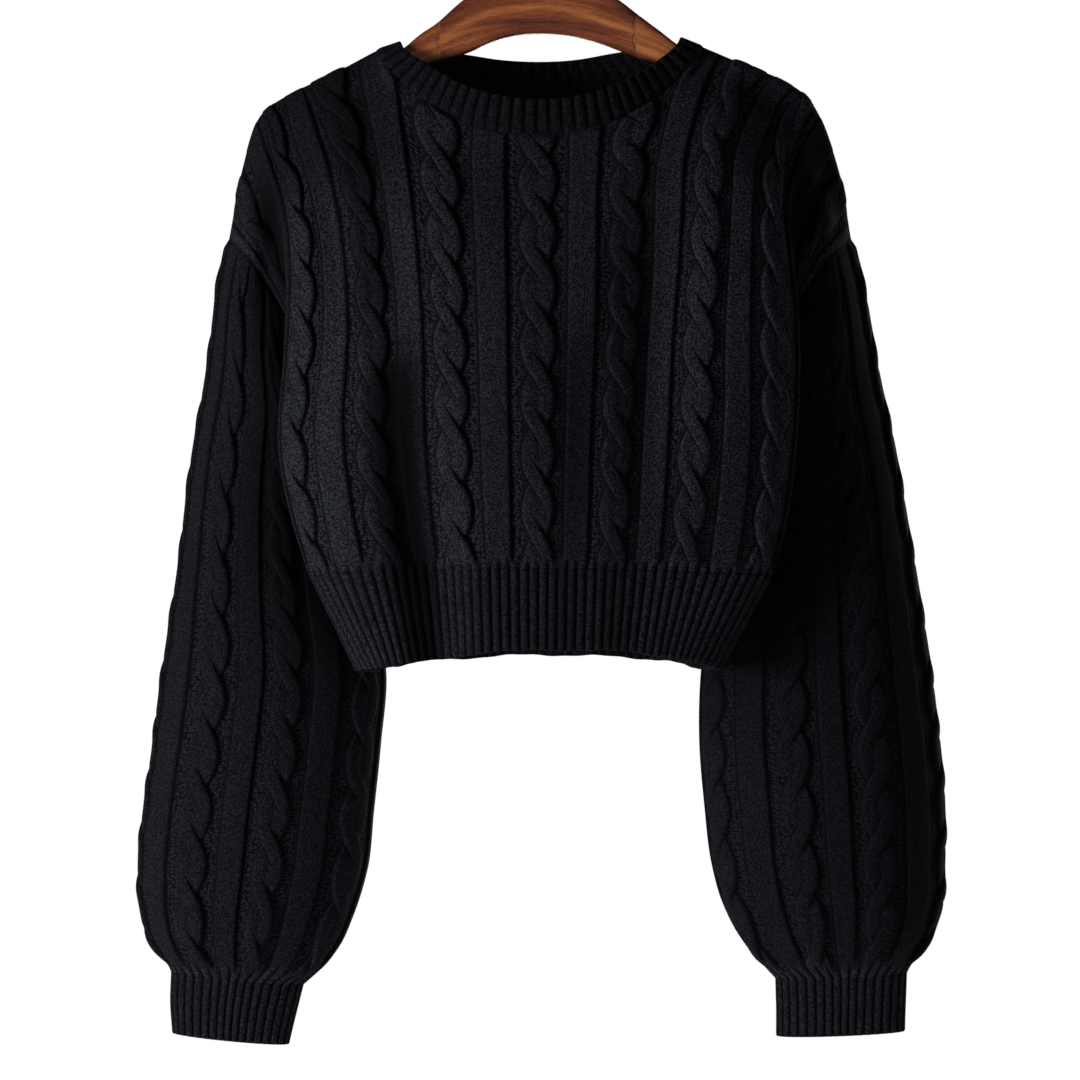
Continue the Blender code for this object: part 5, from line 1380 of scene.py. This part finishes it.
@dataclass
class Hook:
    """The hanger's steel wire hook, round at its tip and straight into the board."""

    around: int = 20
    steps: int = 90

    def path(self) -> Array:
        """Gives the wire's centre line, as x and z."""
        radius = HOOK_IN + WIRE
        line = [(0.0, -81.7), (0.0, -72.0), (0.3, -63.0), (2.5, -56.0), (7.0, -50.0)]
        turn = np.radians(-52.0 + 15.5 * np.arange(17))
        line += [(radius * math.cos(a), -HOOK_IN + radius * math.sin(a)) for a in turn]
        line.append((line[-1][0] - 3.0, line[-1][1] - 7.0))
        line = np.array(line)
        run = np.concatenate([[0.0], np.cumsum(np.linalg.norm(np.diff(line, axis=0), axis=1))])
        return smooth(run, line, np.linspace(0.0, run[-1], self.steps + 1))

    def make(self) -> bpy.types.Object:
        """Sweeps the wire's round section along its line."""
        line = self.path()
        run = unit(np.gradient(line, axis=0))
        away = np.linalg.norm(line - line[-1], axis=1)
        size = WIRE * np.sqrt(np.clip(1.0 - (1.0 - np.clip(away / WIRE, 0.0, 1.0)) ** 2, 0.0, 1.0))
        size[0] = 0.0
        turn = np.linspace(0.0, 2.0 * np.pi, self.around + 1)
        out, across = np.outer(size, np.cos(turn)), np.outer(size, np.sin(turn))
        points = np.stack([line[:, :1] - run[:, 1:] * out, across, line[:, 1:] + run[:, :1] * out],
                          axis=-1)
        zero = np.zeros(out.shape)
        flat = np.stack([zero, zero], axis=-1)
        grid = Knitting(points, flat, zero, zero, zero, zero)
        made = Weaver("hanger_wire", [grid]).build(True)
        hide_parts("hanger_hook")
        return made


# ----------------------------------------------------------------------- finishes
class Socket:
    """One value in a material, which takes part in ordinary arithmetic."""

    def __init__(self, recipe: "Recipe", socket: bpy.types.NodeSocket) -> None:
        """Wraps a node's output socket."""
        self.recipe, self.socket = recipe, socket

    def math(self, operation: str, *others: "Socket | float") -> "Socket":
        """Adds a Math node with this value first."""
        return self.recipe.out("ShaderNodeMath", {"operation": operation},
                               dict(enumerate((self, *others))))

    def swapped(self, operation: str, other: "Socket | float") -> "Socket":
        """Adds a Math node with this value second."""
        return self.recipe.out("ShaderNodeMath", {"operation": operation}, {0: other, 1: self})

    def __add__(self, other: "Socket | float") -> "Socket":
        """Adds."""
        return self.math("ADD", other)

    def __radd__(self, other: float) -> "Socket":
        """Adds to a number."""
        return self.math("ADD", other)

    def __sub__(self, other: "Socket | float") -> "Socket":
        """Subtracts."""
        return self.math("SUBTRACT", other)

    def __rsub__(self, other: float) -> "Socket":
        """Subtracts from a number."""
        return self.swapped("SUBTRACT", other)

    def __mul__(self, other: "Socket | float") -> "Socket":
        """Multiplies."""
        return self.math("MULTIPLY", other)

    def __rmul__(self, other: float) -> "Socket":
        """Multiplies a number."""
        return self.math("MULTIPLY", other)

    def __truediv__(self, other: "Socket | float") -> "Socket":
        """Divides."""
        return self.math("DIVIDE", other)

    def __pow__(self, other: float) -> "Socket":
        """Raises to a power."""
        return self.math("POWER", other)

    def wave(self) -> "Socket":
        """Swings from 0 to 1 and back once for each whole number."""
        return (self * (2.0 * math.pi)).math("COSINE") * 0.5 + 0.5

    def between(self, low: float, high: float) -> "Socket":
        """Eases from 0 at low to 1 at high."""
        return self.recipe.out("ShaderNodeMapRange", {"interpolation_type": "SMOOTHSTEP"},
                               {"Value": self, "From Min": low, "From Max": high})


class Recipe:
    """One node material under construction."""

    def __init__(self, name: str) -> None:
        """Starts an empty material with a surface and an output."""
        self.material = bpy.data.materials.new(name)
        self.material.use_nodes = True
        self.tree = self.material.node_tree
        self.tree.nodes.clear()
        self.shader = self.node("ShaderNodeBsdfPrincipled", {}, {})
        self.node("ShaderNodeOutputMaterial", {}, {"Surface": self.shader.outputs["BSDF"]})

    def node(self, kind: str, settings: Mapping[str, Any],
             values: Mapping[str | int, Any]) -> bpy.types.Node:
        """Adds a node.

        Args:
            kind: Blender's name of the node.
            settings: its properties, set first; stops gives a ramp's places and colours.
            values: its sockets' values or links, by name or number.

        Returns:
            The node.
        """
        made = self.tree.nodes.new(kind)
        for label, value in settings.items():
            if label == "stops":
                self.set_stops(made, value)
            else:
                setattr(made, label, value)
        for place, value in values.items():
            self.feed(made.inputs[place], value)
        return made

    def feed(self, target: bpy.types.NodeSocket, value: Any) -> None:
        """Links a node's input to a value, or sets it."""
        if isinstance(value, Socket):
            self.tree.links.new(value.socket, target)
        elif isinstance(value, bpy.types.NodeSocket):
            self.tree.links.new(value, target)
        else:
            target.default_value = value

    @staticmethod
    def set_stops(made: bpy.types.Node, stops: Sequence[tuple[float, Sequence[float]]]) -> None:
        """Gives a colour ramp its stops."""
        while len(made.color_ramp.elements) < len(stops):
            made.color_ramp.elements.new(1.0)
        for element, (place, colour) in zip(made.color_ramp.elements, stops):
            element.position, element.color = place, (*colour, 1.0)

    def out(self, kind: str, settings: Mapping[str, Any], values: Mapping[str | int, Any],
            output: str | int = 0) -> Socket:
        """Adds a node and gives one of its outputs."""
        return Socket(self, self.node(kind, settings, values).outputs[output])

    def attribute(self, label: str) -> Socket:
        """Reads one of the mesh's own numbers."""
        return self.out("ShaderNodeAttribute", {"attribute_name": label}, {}, "Fac")

    def noise(self, scale: float, detail: float, where: Socket | None = None,
              rough: float = 0.5) -> Socket:
        """Reads a noise, in the object's own space unless a place is given."""
        spot = where or self.out("ShaderNodeTexCoord", {}, {}, "Object")
        return self.out("ShaderNodeTexNoise", {"noise_dimensions": "3D"},
                        {"Vector": spot, "Scale": scale, "Detail": detail, "Roughness": rough})

    def blend(self, share: Socket | float, one: Any, two: Any) -> Socket:
        """Mixes two colours."""
        def colour(value: Any) -> Any:
            """Completes a plain colour."""
            return value if isinstance(value, Socket) else (*value, 1.0)
        made = self.node("ShaderNodeMix", {"data_type": "RGBA"}, {})
        for place, value in ((0, share), (6, colour(one)), (7, colour(two))):
            self.feed(made.inputs[place], value)
        return Socket(self, made.outputs[2])

    def finish(self, **values: Any) -> bpy.types.Material:
        """Sets the surface's sockets and gives the material; _ stands for a space."""
        for label, value in values.items():
            self.feed(self.shader.inputs[label.replace("_", " ")], value)
        return self.material


@dataclass(frozen=True)
class Yarn:
    """Soft brushed wool yarn, knitted: stitches, purl bumps, fuzz and a soft sheen, with painted
    shade from the mesh's numbers.
    """

    name: str
    slot: str
    colour: tuple[float, float, float]
    # deep is the colour that painted shade darkens the yarn to
    deep: tuple[float, float, float]
    fluff: tuple[float, float, float]
    warm_fluff: tuple[float, float, float]
    stitch_high: float = 0.20
    purl_high: float = 0.9
    fuzz_high: float = 0.6
    sheen: float = 0.008

    def make(self) -> bpy.types.Material:
        """Makes the material."""
        mix = Recipe(self.name)
        place = mix.out("ShaderNodeUVMap", {"uv_map": "stitch"}, {})
        split = mix.node("ShaderNodeSeparateXYZ", {}, {0: place})
        column, course = Socket(mix, split.outputs[0]), Socket(mix, split.outputs[1])
        purl, painted_light = mix.attribute("purl"), mix.attribute("painted_light")
        # The crossings' creases: cut into the bump, and painted shade in the colour.
        crease = (1.0 - mix.attribute("crease").math("ABSOLUTE") / 1.1).math("MAXIMUM", 0.0)
        crease = crease ** 1.4 * mix.attribute("cut")
        side = (column.math("FRACT") - 0.5).math("ABSOLUTE")
        leg = (course - side * 1.3).wave() ** 0.8
        column_crown = 1.0 - ((side - 0.25) * 4.0) ** 2.0
        knit = leg * 0.65 + column_crown * 0.35
        spot = mix.out("ShaderNodeCombineXYZ", {}, {0: column * 0.9, 1: course * 1.05})
        bead = mix.out("ShaderNodeTexVoronoi", {"voronoi_dimensions": "2D", "feature": "SMOOTH_F1"},
                       {"Vector": spot, "Scale": 1.0, "Randomness": 0.7, "Smoothness": 0.35})
        dash = 1.0 - bead * 1.3
        fuzz = mix.noise(700.0, 2.0, rough=0.75)
        tufts = mix.noise(230.0, 3.0, rough=0.6)
        height = (knit * (1.0 - purl) * self.stitch_high + dash * purl * self.purl_high
                  + fuzz * self.fuzz_high + tufts * 0.4 - crease * 1.1)
        bump = mix.out("ShaderNodeBump", {}, {"Strength": 1.0, "Distance": 0.001,
                                             "Height": height}, "Normal")
        broad = mix.noise(9.0, 2.0)
        fleck = (fuzz * 0.6 + mix.noise(1300.0, 1.0) * 0.4).between(0.39, 0.65)
        # Painted light on the purl bumps: lighter on their crowns, darker between them.
        fleck = fleck + purl * (dash * 2.1 - 1.0)
        # Painted shade: a little in the purl, the mesh's painted shade and the creases' shade,
        # blended toward the deep colour.
        dark = (purl * 0.25).math("MAXIMUM", painted_light).math("MAXIMUM", crease)
        warm = mix.noise(24.0, 2.0).between(0.42, 0.60)
        fluff = mix.blend(warm, self.fluff, self.warm_fluff)
        lit = mix.blend(fleck.between(0.0, 1.0) * (1.0 - dark * 0.4), self.colour, fluff)
        shade = mix.blend((dark * 1.03).math("MINIMUM", 0.96), lit, self.deep)
        tone = mix.out("ShaderNodeHueSaturation", {}, {"Value": 0.86 + broad * 0.28,
                                                       "Color": shade})
        rough = 0.86 + fuzz * 0.12
        return mix.finish(Base_Color=tone, Roughness=rough, Normal=bump, Sheen_Weight=self.sheen,
                          Sheen_Roughness=0.55, Sheen_Tint=(0.55, 0.56, 0.62, 1.0),
                          Specular_IOR_Level=0.045)


@dataclass(frozen=True)
class StainedBeech:
    """Stained and lacquered hardwood, with grain along the board and two finger joints, painted
    shade along its edges and a painted highlight along its middle.
    """

    name: str = "stained_wood"
    slot: str = "wood"
    pale: tuple[float, float, float] = (0.400, 0.128, 0.036)
    middle: tuple[float, float, float] = (0.158, 0.036, 0.0105)
    dark: tuple[float, float, float] = (0.038, 0.0075, 0.0030)
    joints: tuple[float, float] = (-0.072, 0.0685)

    def make(self) -> bpy.types.Material:
        """Makes the material."""
        mix = Recipe(self.name)
        where = mix.out("ShaderNodeTexCoord", {}, {}, "Object")
        split = mix.node("ShaderNodeSeparateXYZ", {}, {0: where})
        x, z = Socket(mix, split.outputs[0]), Socket(mix, split.outputs[2])
        seam = None
        for joint in self.joints:
            step = ((z * 90.0).math("FRACT") - 0.5).math("SIGN") * 0.0006
            line = (x - joint + step).math("ABSOLUTE").between(0.0012, 0.0)
            seam = line if seam is None else seam.math("MAXIMUM", line)
        piece = x.math("ABSOLUTE").between(0.0700, 0.0704)
        bent = mix.out("ShaderNodeCombineXYZ", {}, {0: x * 5.0 + piece * 3.1,
                                                    1: z * 55.0 + x * x * 160.0, 2: 0.3})
        grain = mix.noise(1.6, 5.0, bent, 0.6)
        fine = mix.noise(9.0, 3.0, mix.out("ShaderNodeCombineXYZ", {},
                                           {0: x * 22.0, 1: z * 260.0, 2: 0.7}), 0.6)
        height = mix.attribute("painted_light")
        # Painted shade towards the top and along the bottom edge, and a painted highlight along the
        # middle.
        edge = height.between(0.66, 0.98) + height.between(0.24, 0.0)
        painted_highlight = height.between(0.28, 0.48) * height.between(0.72, 0.54)
        tone = ((grain - 0.5) * 1.25 + 0.5 + (fine - 0.5) * 0.42 + painted_highlight * 0.10 - edge * 0.20
                + piece * 0.05)
        stain = mix.out("ShaderNodeValToRGB", {"stops": [(0.24, self.dark), (0.47, self.middle),
                                                         (0.72, self.pale)]}, {0: tone})
        colour = mix.blend(seam * 0.55, stain, self.dark)
        bump = mix.out("ShaderNodeBump", {}, {"Strength": 0.25, "Distance": 0.0004,
                                             "Height": fine - seam}, "Normal")
        return mix.finish(Base_Color=colour, Roughness=0.34 + fine * 0.14, Normal=bump,
                          Coat_Weight=0.15, Coat_Roughness=0.3, Specular_IOR_Level=0.3)


@dataclass(frozen=True)
class BrushedSteel:
    """Bright drawn steel wire with fine marks along its length."""

    name: str = "drawn_steel"
    slot: str = "steel"
    colour: tuple[float, float, float] = (0.60, 0.60, 0.61)

    def make(self) -> bpy.types.Material:
        """Makes the material."""
        mix = Recipe(self.name)
        marks = mix.noise(420.0, 3.0)
        tone = mix.blend(marks, tuple(0.8 * c for c in self.colour), self.colour)
        bump = mix.out("ShaderNodeBump", {}, {"Strength": 0.15, "Distance": 0.0002,
                                             "Height": marks}, "Normal")
        return mix.finish(Base_Color=tone, Roughness=0.22 + marks * 0.16, Metallic=1.0,
                          Normal=bump)


# yarn colour, painted shade colour, then the two fluff colours
WOOL = Yarn("wool_knit", "yarn", (0.0018, 0.0022, 0.0036), (0.0005, 0.0006, 0.0008),
            (0.0232, 0.0247, 0.0325), (0.0250, 0.0242, 0.0328))
RIB_WOOL = Yarn("wool_rib", "rib_yarn", (0.0017, 0.0022, 0.0034), (0.0004, 0.0005, 0.0006),
                (0.0225, 0.0245, 0.0312), (0.0238, 0.0240, 0.0312), stitch_high=0.18)


def dress(piece: bpy.types.Object, material: bpy.types.Material, slot: str) -> None:
    """Gives a piece its finish and lets it ride with the hanger."""
    piece.data.materials.clear()
    piece.data.materials.append(material)
    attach(piece, "root")
    log.info("%s: %d faces", piece.name, len(piece.data.polygons))


# ------------------------------------------------------------------------- studio
# name | place | size | watts
LIGHTS = (
    ("key_light", (-2.05, -1.30, -0.55), 0.9, 86.0),
    ("fill_light", (1.1, -2.3, -0.1), 1.6, 7.0),
    ("back_light", (0.7, 2.2, 0.1), 1.8, 70.0),
    ("side_light", (2.2, 1.4, 0.2), 1.2, 28.0),
)


@dataclass
class Studio:
    """A plain pale floor, soft light from the left and the camera in front."""

    camera_at: tuple[float, float, float] = (0.0014, -2.4, -0.4844)
    aim_at: tuple[float, float, float] = (0.0, 0.0, -0.45)   # where the lights face
    lens: float = 111.11
    floor_z: float = -1.04
    floor_wide: float = 0.85
    room_light: float = 0.075                                # light from all round
    room_slope: tuple[float, float, float] = (-0.35, 0.0, -0.35)   # its rise to left and below

    def camera(self) -> None:
        """Sets the camera square in front of the sweater."""
        data = bpy.data.cameras.new("front_camera")
        data.lens, data.sensor_width, data.sensor_fit = self.lens, 36.0, "HORIZONTAL"
        data.clip_start, data.clip_end = 0.05, 50.0
        made = bpy.data.objects.new("front_camera", data)
        made.location, made.rotation_euler = self.camera_at, (math.pi / 2.0, 0.0, 0.0)
        bpy.context.scene.collection.objects.link(made)
        bpy.context.scene.camera = made

    def light(self, name: str, place: tuple[float, float, float], size: float,
              watts: float) -> None:
        """Hangs one square soft light that faces the sweater."""
        data = bpy.data.lights.new(name, "AREA")
        data.size, data.energy = size, watts
        made = bpy.data.objects.new(name, data)
        made.location = place
        aim = np.array(self.aim_at) - np.array(place)
        made.rotation_euler = (math.atan2(math.hypot(aim[0], aim[1]), -aim[2]), 0.0,
                               math.atan2(aim[1], aim[0]) - math.pi / 2.0)
        bpy.context.scene.collection.objects.link(made)

    def floor(self) -> bpy.types.Object:
        """Lays the pale floor."""
        work = bmesh.new()
        bmesh.ops.create_circle(work, cap_ends=True, segments=96, radius=self.floor_wide)
        bmesh.ops.translate(work, verts=work.verts, vec=(0.0, 0.0, self.floor_z))
        mesh = bpy.data.meshes.new("studio_floor")
        work.to_mesh(mesh)
        work.free()
        made = bpy.data.objects.new("studio_floor", mesh)
        bpy.context.scene.collection.objects.link(made)
        mix = Recipe("pale_floor")
        grain = mix.noise(3.0, 2.0)
        mesh.materials.append(mix.finish(Base_Color=mix.blend(grain, (0.80, 0.80, 0.80),
                                                              (0.86, 0.86, 0.86)),
                                         Roughness=0.7, Emission_Color=(1.0, 1.0, 1.0, 1.0),
                                         Emission_Strength=0.35))
        made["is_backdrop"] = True
        return made

    def build(self) -> None:
        """Sets up the room, the lights and the camera."""
        world = bpy.data.worlds.new("studio")
        world.use_nodes = True
        tree = world.node_tree
        back, seen = tree.nodes["Background"], tree.nodes.new("ShaderNodeLightPath")
        level = tree.nodes.new("ShaderNodeMapRange")
        way = tree.nodes.new("ShaderNodeTexCoord")
        slope = tree.nodes.new("ShaderNodeVectorMath")
        slope.operation = "DOT_PRODUCT"
        slope.inputs[1].default_value = self.room_slope
        tree.links.new(way.outputs["Generated"], slope.inputs[0])
        dim = tree.nodes.new("ShaderNodeMath")
        dim.operation = "MULTIPLY_ADD"
        dim.inputs[1].default_value = dim.inputs[2].default_value = self.room_light
        tree.links.new(slope.outputs["Value"], dim.inputs[0])
        tree.links.new(dim.outputs["Value"], level.inputs["To Min"])
        tree.links.new(seen.outputs["Is Camera Ray"], level.inputs["Value"])
        tree.links.new(level.outputs["Result"], back.inputs["Strength"])
        back.inputs["Color"].default_value = (1.0, 1.0, 1.0, 1.0)
        bpy.context.scene.world = world
        bpy.context.scene.view_settings.view_transform = "Standard"
        for name, place, size, watts in LIGHTS:
            self.light(name, place, size, watts)
        self.floor()
        self.camera()


# --------------------------------------------------------------------------- main
# cut width, cut length and cut area of each piece, in metres
CLOTH: dict[str, tuple[float, float, float]] = {
    "front_knit": (0.530, 0.362, 0.164), "back_knit": (0.530, 0.362, 0.160),
    "sleeve_left_knit": (0.413, 0.480, 0.190), "sleeve_right_knit": (0.413, 0.480, 0.190),
    "hem_knit": (0.600, 0.066, 0.039), "neck_knit": (0.540, 0.025, 0.0133),
    "cuff_left_knit": (0.190, 0.046, 0.0087), "cuff_right_knit": (0.190, 0.046, 0.0087),
}


def main() -> None:
    """Builds every piece, dresses it and sets up the studio."""
    logging.basicConfig(level=logging.INFO, format="%(message)s")
    low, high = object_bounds()
    cad_box = [[float(value) for value in corner] for corner in (low, high)]
    wool, rib_wool = WOOL.make(), RIB_WOOL.make()
    around = BandCloth(K_EDGE, lambda face, wale: PANEL[face].surface(wale, np.zeros_like(wale)),
                       hem_edge)
    neck = BandCloth(K_NECK, lambda face, wale: PANEL[face].top(wale), collar_edge)
    hem = RibBand(Tube("hem_knit", "hem_band", around.surface, flip=-1.0, length=63.0, rows=26,
                       inner_rows=8, flows=True), HEM_RIBS, high=2.1, around=around)
    pieces: list[bpy.types.Object] = []
    for face in Face:
        pieces.append(Panel(face, hem, around).make())
        dress(pieces[-1], wool, WOOL.slot)
    for side in Side:
        pieces.append(Sleeve(side).make())
        dress(pieces[-1], wool, WOOL.slot)
    bands = [hem,
             RibBand(Tube("neck_knit", "neck_band", neck.surface, flip=1.0, length=23.0, rows=12,
                          inner_rows=9, seam_wide=3.0, seam_deep=0.4, tuck=1.6),
                     NECK_RIBS, high=2.1, round_columns=11, shade=0.52)]
    for side in Side:
        word = side.name.lower()
        bands.append(RibBand(Tube(f"cuff_{word}_knit", f"cuff_{word}", cuff_cloth(side),
                                  flip=-1.0 if side is Side.RIGHT else 1.0, length=45.0, rows=20,
                                  inner_rows=6, flows=True),
                             CUFF_RIBS, high=1.6, round_columns=12, shade=0.3))
    for band in bands:
        pieces.append(band.make())
        dress(pieces[-1], rib_wool, RIB_WOOL.slot)
    wood, steel = StainedBeech(), BrushedSteel()
    dress(Board().make(), wood.make(), wood.slot)
    dress(Hook().make(), steel.make(), steel.slot)
    for piece in pieces:
        wide, tall, area = CLOTH[piece.name]
    Studio().build()
    low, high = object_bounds()
    visual_box = [[float(value) for value in corner] for corner in (low, high)]


if __name__ == "__main__":
    main()
